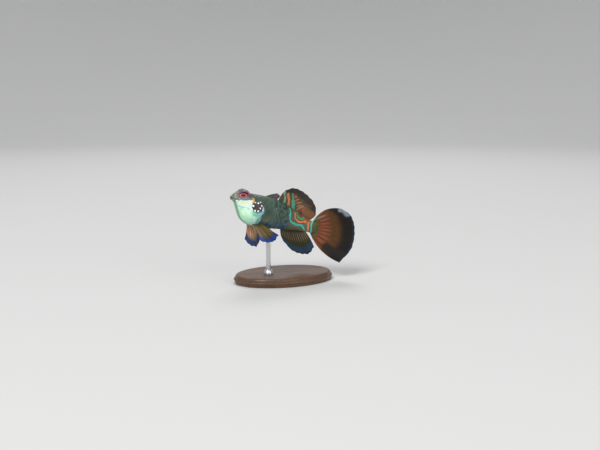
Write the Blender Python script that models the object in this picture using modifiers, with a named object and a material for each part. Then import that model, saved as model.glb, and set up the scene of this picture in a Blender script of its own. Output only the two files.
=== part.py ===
"""Mandarinfish, a still life-size model on a plain display stand.

The fish is drawn straight first, in millimetres: x runs from the snout back towards the tail,
y towards the fish's left and z towards its back. posed() then bends every point along the
spine, lifts it over the stand and turns it into metres. The fish faces -X, and its left side
faces -Y.
"""

import math

import bmesh
import bpy
import numpy as np
from mathutils import Vector

MM = 0.001

# Sizes of the whole fish and its stand.
BODY_LENGTH = 43.4  # snout to the root of the tail fin
TAIL_FIN_LENGTH = 19.5
GAP = 0.3  # between pieces that touch
SPINE_HEIGHT = 40.0  # of the snout's tip above the floor
SPINE_START = (-26.5, 0.5)  # of the snout's tip, along X and Y

# Sections of the body: x, back, belly, half width, level of the widest point, fullness above
# and below. A fullness of 2 is an ellipse, and a higher one is boxier.
BODY_SECTIONS = (
    (0.0, 0.25, -0.40, 0.35, -0.1, 2.0, 2.0),
    (0.4, 1.10, -0.75, 1.05, -0.1, 2.1, 2.0),
    (1.1, 1.95, -1.05, 1.75, -0.2, 2.2, 2.0),
    (2.4, 3.00, -1.80, 2.65, -0.4, 2.3, 2.1),
    (3.7, 3.65, -3.25, 3.45, -0.9, 2.4, 2.2),
    (5.1, 4.05, -5.00, 4.25, -1.6, 2.4, 2.2),
    (7.1, 4.45, -7.20, 5.25, -2.3, 2.4, 2.3),
    (9.7, 4.90, -8.50, 6.00, -2.5, 2.3, 2.3),
    (12.4, 5.40, -8.80, 6.25, -2.3, 2.2, 2.2),
    (16.4, 6.10, -8.30, 5.80, -1.7, 2.0, 2.1),
    (21.4, 6.50, -7.30, 5.10, -1.0, 2.0, 2.0),
    (25.9, 6.20, -6.10, 4.25, -0.5, 2.0, 2.0),
    (30.9, 5.20, -4.85, 3.25, -0.2, 2.0, 2.0),
    (35.4, 3.90, -3.70, 2.30, 0.0, 2.0, 2.0),
    (39.4, 2.95, -2.85, 1.60, 0.0, 2.0, 2.0),
    (43.4, 2.60, -2.60, 0.95, 0.0, 2.2, 2.2),
)

# The pose: how far the spine falls, and how far it swings to the fish's left, at each x.
SPINE_FALL = ((0.0, 22.0), (19.0, 22.5), (35.0, 21.0), (45.0, 15.0), (65.0, 13.0))
SPINE_SWING = ((0.0, 15.0), (11.0, 9.0), (23.0, 1.0), (33.0, 4.0), (44.0, 21.0), (65.0, 31.0))

# Corners around each length of the body.
HEAD_SIDES = 40
TRUNK_SIDES = 36
STALK_SIDES = 28

# Where the body is parted, and how far those cuts lean back towards the fish's back.
GILL_CUT = 12.6
STALK_CUT = 38.1
CUT_LEAN = ((0.0, 0.0), (5.5, 0.0), (12.6, 0.18), (23.0, 0.0), (43.4, 0.0))

# Head. An eye's opening is as wide and as high as these half sizes, level in the pose.
EYE_RADIUS = 2.0
EYE_DEPTH = 1.5  # half of it, along the gaze
EYE_CENTRE = (4.75, 2.45, 2.4)
EYE_GAZE_UP = 26.0  # degrees above level
EYE_GAZE_FORWARD = 10.0
EYE_ROLL = 20.0
OPENING_HALF = (1.85, 1.35)
OPENING_FLARE = 1.3
OPENING_REACH = 2.5  # past the eyeball
ORBIT_RISE = 2.1
ORBIT_SPREAD = 2.65
GILL_COVER_RISE = 0.45
GILL_COVER_START = 8.5
GILL_COVER_FULL = 12.5
GILL_COVER_LEVEL = -2.5
GILL_COVER_SPREAD = 4.5
GILL_PORE = (11.9, 3.8, 0.5)  # x, y, radius
MOUTH_LEVEL = -0.25
MOUTH_SLOPE = 0.06
MOUTH_DEPTH = 2.9
MOUTH_OPENING = 0.3
MOUTH_CUT_WIDTH = 9.0
LIP_RISE = 0.25
LIP_OFFSET = 0.5
LIP_WIDTH = 0.4
LIP_FADE = 1.5
NOSTRILS = ((0.95, 0.9, 0.25), (1.6, 1.2, 0.25))  # x, y, radius
PIT_DEPTH = 0.5
PIT_SIDES = 10
CHEEK_SPINE_ROOT = (9.7, -3.4)  # x, z
CHEEK_SPINE_TIP = (12.0, -3.0)
CHEEK_SPINE_RADIUS = 0.5
CHEEK_SPINE_TIP_RADIUS = 0.1
CHEEK_SPINE_SINK = 0.5  # of its root below the skin
CHEEK_SPINE_STAND = 0.9  # of its tip above the root
CHEEK_SPINE_SIDES = 10

# Fins.
MEMBRANE = 0.5
MEMBRANE_MARGIN = 0.4
RAY = 0.95
RAY_FORK = 0.45  # share of a ray's length where it forks
BRANCH_HEIGHT = 0.8  # of a branch, as a share of the ray's
ROOT_SINK = 1.1
NOTCH = 0.02  # share of the length that the margin dips between two rays

# Each fin: rays; columns between two rays; rows; and at stations from the first ray (0) to the
# last (1) the ray's root, its tip, and how far it bulges away from the fin's middle line.
# A root given as (x, y) takes its height from the back or the belly.
FINS = {
    "first_dorsal_fin": dict(
        rays=4, columns=4, rows=6, edge="back", wave=0.0,
        stations=(
            (0.0, (14.3, 0.0), (20.6, 0.0, 9.1), -0.4),
            (0.5, (16.7, 0.0), (20.9, 0.0, 8.8), -0.3),
            (1.0, (18.9, 0.0), (21.0, 0.0, 8.0), 0.0),
        ),
    ),
    "second_dorsal_fin": dict(
        rays=8, columns=4, rows=8, edge="back", wave=0.5,
        stations=(
            (0.0, (22.2, 0.0), (23.8, 0.0, 11.8), -0.5),
            (0.15, (24.5, 0.0), (26.5, 0.0, 13.8), -0.4),
            (0.3, (26.9, 0.0), (29.7, 0.0, 14.4), -0.3),
            (0.45, (29.3, 0.0), (33.1, 0.0, 14.1), -0.1),
            (0.6, (31.6, 0.0), (36.3, 0.0, 13.1), 0.0),
            (0.75, (33.9, 0.0), (39.3, 0.0, 11.4), 0.2),
            (0.88, (35.9, 0.0), (41.5, 0.0, 9.4), 0.3),
            (1.0, (37.7, 0.0), (42.5, 0.0, 7.0), 0.4),
        ),
    ),
    "anal_fin": dict(
        rays=8, columns=4, rows=7, edge="belly", wave=0.5,
        stations=(
            (0.0, (27.7, 0.0), (31.9, 0.0, -10.4), 0.7),
            (0.25, (30.5, 0.0), (36.3, 0.0, -12.6), 0.4),
            (0.5, (33.3, 0.0), (40.7, 0.0, -13.3), 0.1),
            (0.75, (36.1, 0.0), (44.3, 0.0, -12.3), -0.2),
            (1.0, (38.7, 0.0), (45.7, 0.0, -8.6), -0.5),
        ),
    ),
    "tail_fin": dict(
        rays=10, columns=4, rows=9, edge="end", wave=0.6,
        stations=(
            (0.0, (43.4, 0.0, 2.3), (54.2, 0.0, 11.4), -2.1),
            (0.17, (43.4, 0.0, 1.6), (58.2, 0.0, 9.8), -1.0),
            (0.33, (43.4, 0.0, 0.8), (60.7, 0.0, 6.8), -0.4),
            (0.5, (43.4, 0.0, 0.0), (62.2, 0.0, 3.0), 0.0),
            (0.67, (43.4, 0.0, -0.8), (62.9, 0.0, -1.8), 0.4),
            (0.83, (43.4, 0.0, -1.6), (62.3, 0.0, -6.6), 1.0),
            (1.0, (43.4, 0.0, -2.3), (58.7, 0.0, -13.1), 2.1),
        ),
    ),
    "pectoral_fin_left": dict(
        rays=14, columns=2, rows=7, edge="side", wave=0.25,
        stations=(
            (0.0, (14.1, 5.4, 0.6), (23.1, 9.2, 3.4), 0.5),
            (0.5, (14.2, 5.4, -1.4), (24.7, 10.0, -1.6), 0.0),
            (1.0, (14.1, 5.0, -3.6), (20.5, 9.0, -7.2), -0.5),
        ),
    ),
    "pectoral_fin_right": dict(
        rays=14, columns=2, rows=7, edge="side", wave=0.25,
        stations=(
            (0.0, (14.1, -5.4, 0.6), (23.1, -9.2, 3.4), 0.5),
            (0.5, (14.2, -5.4, -1.4), (24.7, -10.0, -1.6), 0.0),
            (1.0, (14.1, -5.0, -3.6), (20.5, -9.0, -7.2), -0.5),
        ),
    ),
    "pelvic_fin_left": dict(
        rays=6, columns=4, rows=8, edge="side", wave=0.5,
        stations=(
            (0.0, (11.7, 2.8, -7.0), (15.5, 8.2, -13.0), 0.6),
            (0.35, (12.9, 3.3, -6.8), (18.9, 9.6, -13.6), 0.2),
            (0.7, (14.3, 3.8, -6.3), (21.9, 9.6, -12.0), 0.0),
            (1.0, (15.5, 4.2, -5.7), (23.7, 8.4, -8.4), -0.5),
        ),
    ),
    "pelvic_fin_right": dict(
        rays=6, columns=4, rows=8, edge="side", wave=0.5,
        stations=(
            (0.0, (11.7, -2.8, -7.0), (15.7, -5.9, -15.4), 0.6),
            (0.35, (12.9, -3.3, -6.8), (19.7, -6.6, -17.0), 0.2),
            (0.7, (14.3, -3.8, -6.3), (23.5, -7.0, -15.8), 0.0),
            (1.0, (15.5, -4.2, -5.7), (24.5, -7.4, -12.0), -0.5),
        ),
    ),
}

# Stand.
BASE_LENGTH = 48.0
BASE_WIDTH = 34.0
BASE_THICKNESS = 4.0
BASE_BEVEL = 0.7
ROD_RADIUS = 1.0
ROD_X = 22.0  # the place along the fish where the rod meets the belly
ROD_REACH = 2.0  # into the belly, before the body is cut out of it
COLLAR_RADIUS = 2.2
COLLAR_TOP_RADIUS = 1.8
COLLAR_HEIGHT = 1.8
COLLAR_SIDES = 32
ROD_SIDES = 20
BASE_SIDES = 56


def curve_through(stations):
    """A smooth curve through (x, value) pairs, held level past its ends."""
    xs, values = (np.array(column, float) for column in zip(*stations))
    slopes = np.gradient(values, xs)

    def value_at(x):
        i = int(np.clip(np.searchsorted(xs, x) - 1, 0, len(xs) - 2))
        span = xs[i + 1] - xs[i]
        t = min(1.0, max(0.0, (x - xs[i]) / span))
        start = (1 + 2 * t) * (1 - t) ** 2 * values[i] + t * (1 - t) ** 2 * span * slopes[i]
        end = t * t * (3 - 2 * t) * values[i + 1] + t * t * (t - 1) * span * slopes[i + 1]
        return float(start + end)

    return value_at


def column(rows, index):
    """The (first value, value at index) pairs of a table."""
    return [(row[0], row[index]) for row in rows]


back = curve_through(column(BODY_SECTIONS, 1))
belly = curve_through(column(BODY_SECTIONS, 2))
half_width = curve_through(column(BODY_SECTIONS, 3))
widest_level = curve_through(column(BODY_SECTIONS, 4))
fullness_above = curve_through(column(BODY_SECTIONS, 5))
fullness_below = curve_through(column(BODY_SECTIONS, 6))
spine_fall = curve_through(SPINE_FALL)
spine_swing = curve_through(SPINE_SWING)
cut_lean = curve_through(CUT_LEAN)


def spine_axes(x):
    """Backward, left and up directions of the posed fish at x."""
    fall = math.radians(spine_fall(x))
    swing = math.radians(spine_swing(x))
    level = Vector((math.cos(swing), -math.sin(swing), 0.0))
    backward = level * math.cos(fall) - Vector((0, 0, math.sin(fall)))
    left = Vector((-math.sin(swing), -math.cos(swing), 0.0))
    up = left.cross(backward)
    return backward, left, up


def spine_path(length, step):
    """Points along the posed spine, one for each step of x."""
    points = [Vector((*SPINE_START, SPINE_HEIGHT))]
    for i in range(round(length / step)):
        points.append(points[-1] + spine_axes((i + 0.5) * step)[0] * step)
    return points


SPINE_STEP = 0.5
SPINE = spine_path(BODY_LENGTH + TAIL_FIN_LENGTH + 5.0, SPINE_STEP)


def posed(point):
    """A point of the straight fish, in millimetres, moved to its place in the pose, in metres."""
    x, y, z = point
    i = int(min(len(SPINE) - 2, max(0, x // SPINE_STEP)))
    backward, left, up = spine_axes(x)
    centre = SPINE[i] + (SPINE[i + 1] - SPINE[i]) * (x / SPINE_STEP - i)
    return (centre + left * y + up * z) * MM


def smooth_step(value, start, end):
    """0 before start, 1 after end, and a smooth rise between."""
    share = min(1.0, max(0.0, (value - start) / (end - start)))
    return share * share * (3 - 2 * share)


def power(value, exponent):
    """A signed power, for superellipses."""
    return math.copysign(abs(value) ** exponent, value)


def eye_axes(side):
    """Directions of one eye on the straight fish: out, back along its opening, and up."""
    up, forward, roll = (math.radians(a) for a in (EYE_GAZE_UP, EYE_GAZE_FORWARD, EYE_ROLL))
    out = Vector(
        (
            -math.sin(forward) * math.cos(up),
            side * math.cos(forward) * math.cos(up),
            math.sin(up),
        )
    )
    along = Vector((math.cos(roll), 0.0, math.sin(roll)))
    along = (along - out * along.dot(out)).normalized()
    over = out.cross(along) * -side
    return out, along, over


def eye_centre(side):
    """The middle of one eye on the straight fish."""
    return Vector((EYE_CENTRE[0], side * EYE_CENTRE[1], EYE_CENTRE[2]))


def head_relief(x, y, z):
    """How far the domes over the eyes, the gill covers and the lips stand out of the head."""
    out, along, over = eye_axes(1)
    from_eye = Vector((x, abs(y), z)) - eye_centre(1)
    from_axis = math.hypot(from_eye.dot(along), from_eye.dot(over))
    relief = ORBIT_RISE * math.exp(-((from_axis / ORBIT_SPREAD) ** 3))
    cover = smooth_step(x, GILL_COVER_START, GILL_COVER_FULL)
    cover *= math.exp(-(((z - GILL_COVER_LEVEL) / GILL_COVER_SPREAD) ** 2))
    mouth_end = MOUTH_DEPTH + 1.0
    lips = smooth_step(x, 0.0, 0.3) * (1 - smooth_step(x, mouth_end - LIP_FADE, mouth_end))
    from_lip = abs(z - MOUTH_LEVEL - MOUTH_SLOPE * x) - LIP_OFFSET
    lips *= math.exp(-((from_lip / LIP_WIDTH) ** 2))
    return relief + GILL_COVER_RISE * cover + LIP_RISE * lips


def section_point(x, angle, grow=0.0, relief=True):
    """The body's surface at x. angle 0 is the back, and a quarter turn is the fish's left."""
    side, rise = math.sin(angle), math.cos(angle)
    level = widest_level(x)
    reach = back(x) - level if rise > 0 else level - belly(x)
    fullness = fullness_above(x) if rise > 0 else fullness_below(x)
    arm = Vector(
        (
            (half_width(x) + grow) * power(side, 2 / fullness),
            (reach + grow) * power(rise, 2 / fullness),
        )
    )
    if relief and x < GILL_CUT + 1.6:
        arm += arm.normalized() * head_relief(x, arm.x, level + arm.y)
    return Vector((x, arm.x, level + arm.y))


def ring(x, sides, grow=0.0, relief=True):
    """One ring of surface points round the body, leaned as the gill cut is."""
    points = []
    for i in range(sides):
        angle = 2 * math.pi * i / sides
        plain = section_point(x, angle, grow, relief)
        leaned = max(0.0, x + cut_lean(x) * plain.z)
        points.append(section_point(leaned, angle, grow, relief))
    return points


def add_object(name, bm, material=None, origin=(0, 0, 0)):
    """Makes an object of a posed bmesh, with its own origin, under the fish's empty."""
    bm.normal_update()
    bmesh.ops.recalc_face_normals(bm, faces=bm.faces)
    bmesh.ops.translate(bm, verts=bm.verts, vec=-Vector(origin))
    mesh = bpy.data.meshes.new(name)
    bm.to_mesh(mesh)
    bm.free()
    obj = bpy.data.objects.new(name, mesh)
    obj.location = origin
    parts.objects.link(obj)
    obj.parent = fish
    if material:
        mesh.materials.append(material)
    return obj


def body_length(name, xs, sides, material, grow=0.0, relief=True):
    """A length of the body, lofted through rings at xs and closed by a cap at each end."""
    bm = bmesh.new()
    rings = []
    for x in xs:
        rings.append([bm.verts.new(posed(p)) for p in ring(x, sides, grow, relief)])
    for first, second in zip(rings, rings[1:]):
        for i in range(sides):
            j = (i + 1) % sides
            bm.faces.new((first[i], first[j], second[j], second[i]))
    bmesh.ops.triangulate(bm, faces=bm.faces, quad_method="SHORT_EDGE")
    for loop in (rings[0][::-1], rings[-1]):
        cap = bm.faces.new(loop)
        bmesh.ops.poke(bm, faces=[cap])
    middle = posed((xs[len(xs) // 2], 0, 0))
    obj = add_object(name, bm, material, middle)
    obj.data.shade_smooth()
    obj.data.set_sharp_from_angle(angle=math.radians(50))
    return obj


def spaced(start, end, count, crowd=1.0):
    """count + 1 places from start to end, crowded towards the start by a higher crowd."""
    return [start + (end - start) * (i / count) ** crowd for i in range(count + 1)]


def material(name, colour, roughness, metallic=0.0):
    """A Principled BSDF with one colour."""
    made = bpy.data.materials.new(name)
    made.use_nodes = True
    shader = made.node_tree.nodes["Principled BSDF"]
    shader.inputs["Base Color"].default_value = (*colour, 1.0)
    shader.inputs["Roughness"].default_value = roughness
    shader.inputs["Metallic"].default_value = metallic
    return made


def cut(obj, cutter):
    """Takes cutter away from obj."""
    boolean = obj.modifiers.new("cut_by_" + cutter.name, "BOOLEAN")
    boolean.operation = "DIFFERENCE"
    boolean.object = cutter
    return boolean


def as_cutter(obj):
    """Sets aside an object that only cuts others or joins them."""
    parts.objects.unlink(obj)
    cutters.objects.link(obj)
    obj.hide_render = True
    obj.display_type = "WIRE"
    return obj


def fin_surface(spec):
    """A fin's middle surface, as a function of u from its first ray to its last and v from root
    to tip."""
    stations = spec["stations"]
    root_curves = [curve_through([(s[0], s[1][i]) for s in stations]) for i in range(len(stations[0][1]))]
    tip_curves = [curve_through([(s[0], s[2][i]) for s in stations]) for i in range(3)]
    bulge_at = curve_through(column(stations, 3))
    normal = Vector(fin_normal(spec))

    def point_at(u, v):
        root = [curve(u) for curve in root_curves]
        if spec["edge"] == "back":
            root.append(back(root[0]) - ROOT_SINK)
        elif spec["edge"] == "belly":
            root.append(belly(root[0]) + ROOT_SINK)
        elif spec["edge"] == "end":
            root[0] -= ROOT_SINK
        ray = Vector([curve(u) for curve in tip_curves]) - Vector(root)
        between = 0.5 - 0.5 * math.cos(2 * math.pi * u * (spec["rays"] - 1))
        reach = v * (1 - NOTCH * between * v)
        across = normal.cross(ray).normalized() * 4 * reach * (1 - reach) * bulge_at(u)
        wave = normal * spec["wave"] * math.sin(2.5 * math.pi * u + 0.6) * v
        return Vector(root) + ray * reach + across + wave

    return point_at


def fin_normal(spec):
    """The direction that a fin's left face looks to: across the fish, or out from a side fin."""
    if spec["edge"] != "side":
        return (0.0, 1.0, 0.0)
    first, middle, last = spec["stations"][0], spec["stations"][1], spec["stations"][-1]
    spread = Vector(last[2]) - Vector(first[2])
    length = Vector(middle[2]) - Vector(middle[1])
    return tuple(length.cross(spread).normalized())


def ray_thickness(spec, column_index, v):
    """A fin's thickness: a ridge along each ray, which forks towards the margin."""
    membrane = MEMBRANE + (MEMBRANE_MARGIN - MEMBRANE) * v
    place = column_index % spec["columns"]
    forked = min(1.0, max(0.0, (v - RAY_FORK) / 0.15))
    if place == 0:
        ridge = 1.0 - BRANCH_HEIGHT * forked * (spec["columns"] == 4)
    elif spec["columns"] == 4 and place != 2:
        ridge = forked * BRANCH_HEIGHT
    else:
        ridge = 0.0
    return membrane + (RAY - MEMBRANE) * ridge * (1 - 0.75 * v)


def make_fin(name, spec, material, body_cutter):
    """A fin: a curved sheet of triangles given its thickness, its root cut to the body."""
    columns = (spec["rays"] - 1) * spec["columns"]
    rows = spec["rows"]
    point_at = fin_surface(spec)
    bm = bmesh.new()
    bmesh.ops.create_grid(bm, x_segments=columns, y_segments=rows, size=0.5)
    layer = bm.verts.layers.deform.verify()
    for vert in bm.verts:
        u, v = vert.co.x + 0.5, vert.co.y + 0.5
        vert[layer][0] = ray_thickness(spec, round(u * columns), v) / RAY
        vert.co = posed(point_at(u, v))
    bmesh.ops.triangulate(bm, faces=bm.faces, quad_method="SHORT_EDGE")
    obj = add_object(name, bm, material, posed(point_at(0.5, 0.0)))
    obj.vertex_groups.new(name="thickness")
    solidify = obj.modifiers.new("thickness", "SOLIDIFY")
    solidify.thickness = RAY * MM
    solidify.offset = 0.0
    solidify.vertex_group = "thickness"
    solidify.thickness_vertex_group = 0.0
    cut(obj, body_cutter)
    return obj


def rod(name, radius, bottom, top, sides, material=None, top_radius=None):
    """A cylinder or cone between two points, in metres."""
    bm = bmesh.new()
    length = (top - bottom).length
    bmesh.ops.create_cone(
        bm,
        cap_ends=True,
        segments=sides,
        radius1=radius * MM,
        radius2=(radius if top_radius is None else top_radius) * MM,
        depth=length,
    )
    turn = (top - bottom).to_track_quat("Z", "Y")
    bmesh.ops.rotate(bm, verts=bm.verts, matrix=turn.to_matrix(), cent=(0, 0, 0))
    obj = add_object(name, bm, material)
    obj.location = (top + bottom) / 2
    obj.data.shade_smooth()
    obj.data.set_sharp_from_angle(angle=math.radians(40))
    return obj


def opening_cutter(side):
    """The opening between the lids of one eye, which flares outwards."""
    bm = bmesh.new()
    bmesh.ops.create_cone(bm, cap_ends=True, segments=28, radius1=1.0, radius2=OPENING_FLARE, depth=1.0)
    out, along, over = eye_axes(side)
    length = EYE_DEPTH + OPENING_REACH
    for vert in bm.verts:
        x, y, z = vert.co
        aside = along * x * OPENING_HALF[0] + over * y * OPENING_HALF[1]
        vert.co = posed(eye_centre(side) + aside + out * (z + 0.5) * length)
    return add_object(f"opening_{side}", bm)


def eyeball(name, side, grow, segments, rings, material=None):
    """An eye, flattened along its gaze, with its poles on the gaze."""
    bm = bmesh.new()
    bmesh.ops.create_uvsphere(bm, u_segments=segments, v_segments=rings, radius=1.0)
    out, along, over = eye_axes(side)
    for vert in bm.verts:
        x, y, z = vert.co
        aside = (along * x + over * y) * (EYE_RADIUS + grow)
        vert.co = posed(eye_centre(side) + aside + out * z * (EYE_DEPTH + grow))
    obj = add_object(name, bm, material, posed(eye_centre(side)))
    obj.data.shade_smooth()
    return obj


def surface_above(x, y):
    """The upper surface of the body at x and y."""
    angles = spaced(0.0, math.copysign(math.pi / 2, y), 80)
    return min((section_point(x, a) for a in angles), key=lambda p: abs(p.y - y))


def pit_cutter(name, x, y, lean, radius):
    """A short round cutter that stands half out of the skin above x and y."""
    place = surface_above(x, y)
    direction = Vector(lean).normalized() * PIT_DEPTH
    return as_cutter(rod(name, radius, posed(place - direction), posed(place + direction), PIT_SIDES))


def cheek_spine(side, skin):
    """The small spine at the rear of the cheek, which points back."""
    x, z = CHEEK_SPINE_ROOT
    angles = spaced(0.0, side * math.pi, 160)
    root = min((section_point(x, a) for a in angles), key=lambda p: abs(p.z - z))
    tip = Vector((CHEEK_SPINE_TIP[0], root.y + side * CHEEK_SPINE_STAND, CHEEK_SPINE_TIP[1]))
    root.y -= side * CHEEK_SPINE_SINK
    return rod(
        f"cheek_spine_{side}",
        CHEEK_SPINE_RADIUS,
        posed(root),
        posed(tip),
        CHEEK_SPINE_SIDES,
        skin,
        CHEEK_SPINE_TIP_RADIUS,
    )


def make_head(skin):
    """The head, with its eye sockets, lids, mouth, nostrils, gill pores and cheek spines."""
    xs = [0.0, 0.15, 0.4, 0.8, 1.2] + spaced(1.6, 8.0, 14)[:-1] + spaced(8.0, GILL_CUT - GAP / 2, 7)
    head = body_length("head", xs, HEAD_SIDES, skin)
    for side in (1, -1):
        spine = cheek_spine(side, skin)
        join = head.modifiers.new("cheek_spine", "BOOLEAN")
        join.operation = "UNION"
        join.object = as_cutter(spine)
        cut(head, as_cutter(eyeball(f"socket_{side}", side, GAP, 24, 14)))
        cut(head, as_cutter(opening_cutter(side)))
        for i, (x, y, radius) in enumerate(NOSTRILS):
            cut(head, pit_cutter(f"nostril_{side}_{i}", x, side * y, (-0.2, side * 0.5, 1), radius))
        x, y, radius = GILL_PORE
        cut(head, pit_cutter(f"gill_pore_{side}", x, side * y, (0.6, side * 0.6, 1), radius))
    cut(head, as_cutter(mouth_cutter()))
    return head


def mouth_cutter():
    """A thin plate across the snout, whose edge is the line of the mouth."""
    bm = bmesh.new()
    bmesh.ops.create_cube(bm, size=1.0)
    for vert in bm.verts:
        x = (vert.co.x + 0.5) * (MOUTH_DEPTH + 1.0) - 1.0
        z = MOUTH_LEVEL + MOUTH_SLOPE * x + vert.co.z * MOUTH_OPENING
        vert.co = posed((x, vert.co.y * MOUTH_CUT_WIDTH, z))
    return add_object("mouth_cutter", bm)


def make_stand(wood, metal, body_cutter):
    """The base, its collar and the rod that ends at the belly."""
    belly_point = posed((ROD_X, 0, belly(ROD_X)))
    foot = Vector((belly_point.x, belly_point.y, 0))
    bm = bmesh.new()
    bmesh.ops.create_cone(
        bm, cap_ends=True, segments=BASE_SIDES, radius1=0.5, radius2=0.5, depth=BASE_THICKNESS * MM
    )
    bmesh.ops.scale(bm, verts=bm.verts, vec=(BASE_LENGTH * MM, BASE_WIDTH * MM, 1))
    base = add_object("stand_base", bm, wood)
    base.location = (0, 0, BASE_THICKNESS * MM / 2)
    bevel = base.modifiers.new("edges", "BEVEL")
    bevel.width = BASE_BEVEL * MM
    bevel.segments = 2
    collar_bottom = foot + Vector((0, 0, (BASE_THICKNESS + GAP) * MM))
    collar_top = collar_bottom + Vector((0, 0, COLLAR_HEIGHT * MM))
    collar = rod(
        "stand_collar",
        COLLAR_RADIUS,
        collar_bottom,
        collar_top,
        COLLAR_SIDES,
        metal,
        COLLAR_TOP_RADIUS,
    )
    past = Vector((0, 0, MM))
    bore = rod("collar_bore", ROD_RADIUS + GAP, collar_bottom - past, collar_top + past, ROD_SIDES)
    cut(collar, as_cutter(bore))
    rod_top = belly_point + Vector((0, 0, ROD_REACH * MM))
    post = rod("stand_rod", ROD_RADIUS, collar_bottom, rod_top, ROD_SIDES, metal)
    cut(post, body_cutter)


for old in list(bpy.data.objects):
    bpy.data.objects.remove(old, do_unlink=True)

parts = bpy.data.collections.new("mandarinfish")
cutters = bpy.data.collections.new("cutters")
for made in (parts, cutters):
    bpy.context.scene.collection.children.link(made)
fish = bpy.data.objects.new("mandarinfish_origin", None)
parts.objects.link(fish)

head_skin = material("head_skin", (0.30, 0.62, 0.50), 0.45)
body_skin = material("body_skin", (0.10, 0.30, 0.34), 0.45)
fin_skin = material("fin_membrane", (0.40, 0.16, 0.10), 0.50)
eye_gloss = material("eye", (0.55, 0.10, 0.05), 0.15)
wood = material("stand_wood", (0.16, 0.09, 0.05), 0.50)
metal = material("stand_metal", (0.70, 0.70, 0.72), 0.30, 1.0)

whole = spaced(0.0, BODY_LENGTH, 44, 1.2)
body_cutter = as_cutter(body_length("body_cutter", whole, HEAD_SIDES, None, GAP, False))

make_head(head_skin)
trunk_xs = spaced(GILL_CUT + GAP / 2, STALK_CUT - GAP / 2, 20)
body_length("trunk", trunk_xs, TRUNK_SIDES, body_skin, relief=False)
stalk_xs = spaced(STALK_CUT + GAP / 2, BODY_LENGTH, 5)
body_length("tail_stalk", stalk_xs, STALK_SIDES, body_skin, relief=False)
for side, word in ((1, "left"), (-1, "right")):
    eyeball(f"eye_{word}", side, 0.0, 20, 12, eye_gloss)
for name, spec in FINS.items():
    make_fin(name, spec, fin_skin, body_cutter)
make_stand(wood, metal, body_cutter)
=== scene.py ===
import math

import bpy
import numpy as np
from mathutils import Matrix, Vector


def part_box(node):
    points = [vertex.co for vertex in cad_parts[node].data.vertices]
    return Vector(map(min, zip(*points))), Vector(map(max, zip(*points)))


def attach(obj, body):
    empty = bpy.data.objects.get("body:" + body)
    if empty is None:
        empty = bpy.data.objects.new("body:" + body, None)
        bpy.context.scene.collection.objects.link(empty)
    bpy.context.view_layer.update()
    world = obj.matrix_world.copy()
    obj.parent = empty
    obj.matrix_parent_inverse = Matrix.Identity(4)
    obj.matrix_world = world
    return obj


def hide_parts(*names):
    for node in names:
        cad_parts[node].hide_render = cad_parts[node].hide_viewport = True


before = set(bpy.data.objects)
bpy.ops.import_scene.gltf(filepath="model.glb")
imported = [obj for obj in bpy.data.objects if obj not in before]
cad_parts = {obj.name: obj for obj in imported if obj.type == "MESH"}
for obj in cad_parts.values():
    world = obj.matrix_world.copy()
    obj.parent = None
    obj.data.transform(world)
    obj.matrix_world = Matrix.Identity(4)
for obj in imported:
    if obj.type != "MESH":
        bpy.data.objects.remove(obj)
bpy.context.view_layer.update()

# Mandarinfish, dressed: one fine skin, membranes and rays for every fin, eyes with a clear
# cornea, and a turned display stand. The fish is drawn straight first, in millimetres: x runs
# from the snout back towards the tail, y towards the fish's left and z towards its back.
# posed() then bends every point along the spine and turns it into metres, as the solids are.

MM = 0.001

# The fish, as in the solids. Sections: x, back, belly, half width, level of the widest point,
# fullness above and below. A fullness of 2 is an ellipse, and a higher one is boxier.
SPINE_HEIGHT = 40.0
SPINE_START = (-26.5, 0.5)
BODY_SECTIONS = (
    (0.0, 0.25, -0.40, 0.35, -0.1, 2.0, 2.0),
    (0.4, 1.10, -0.75, 1.05, -0.1, 2.1, 2.0),
    (1.1, 1.95, -1.05, 1.75, -0.2, 2.2, 2.0),
    (2.4, 3.00, -1.80, 2.65, -0.4, 2.3, 2.1),
    (3.7, 3.65, -3.25, 3.45, -0.9, 2.4, 2.2),
    (5.1, 4.05, -5.00, 4.25, -1.6, 2.4, 2.2),
    (7.1, 4.45, -7.20, 5.25, -2.3, 2.4, 2.3),
    (9.7, 4.90, -8.50, 6.00, -2.5, 2.3, 2.3),
    (12.4, 5.40, -8.80, 6.25, -2.3, 2.2, 2.2),
    (16.4, 6.10, -8.30, 5.80, -1.7, 2.0, 2.1),
    (21.4, 6.50, -7.30, 5.10, -1.0, 2.0, 2.0),
    (25.9, 6.20, -6.10, 4.25, -0.5, 2.0, 2.0),
    (30.9, 5.20, -4.85, 3.25, -0.2, 2.0, 2.0),
    (35.4, 3.90, -3.70, 2.30, 0.0, 2.0, 2.0),
    (39.4, 2.95, -2.85, 1.60, 0.0, 2.0, 2.0),
    (43.4, 2.60, -2.60, 0.95, 0.0, 2.2, 2.2),
    (44.4, 2.35, -2.35, 0.60, 0.0, 2.2, 2.2),
    (45.0, 1.50, -1.50, 0.20, 0.0, 2.2, 2.2),
)
SPINE_FALL = ((0.0, 22.0), (19.0, 22.5), (35.0, 21.0), (45.0, 15.0), (65.0, 13.0))
SPINE_SWING = ((0.0, 15.0), (11.0, 9.0), (23.0, 1.0), (33.0, 4.0), (44.0, 21.0), (65.0, 31.0))

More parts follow.
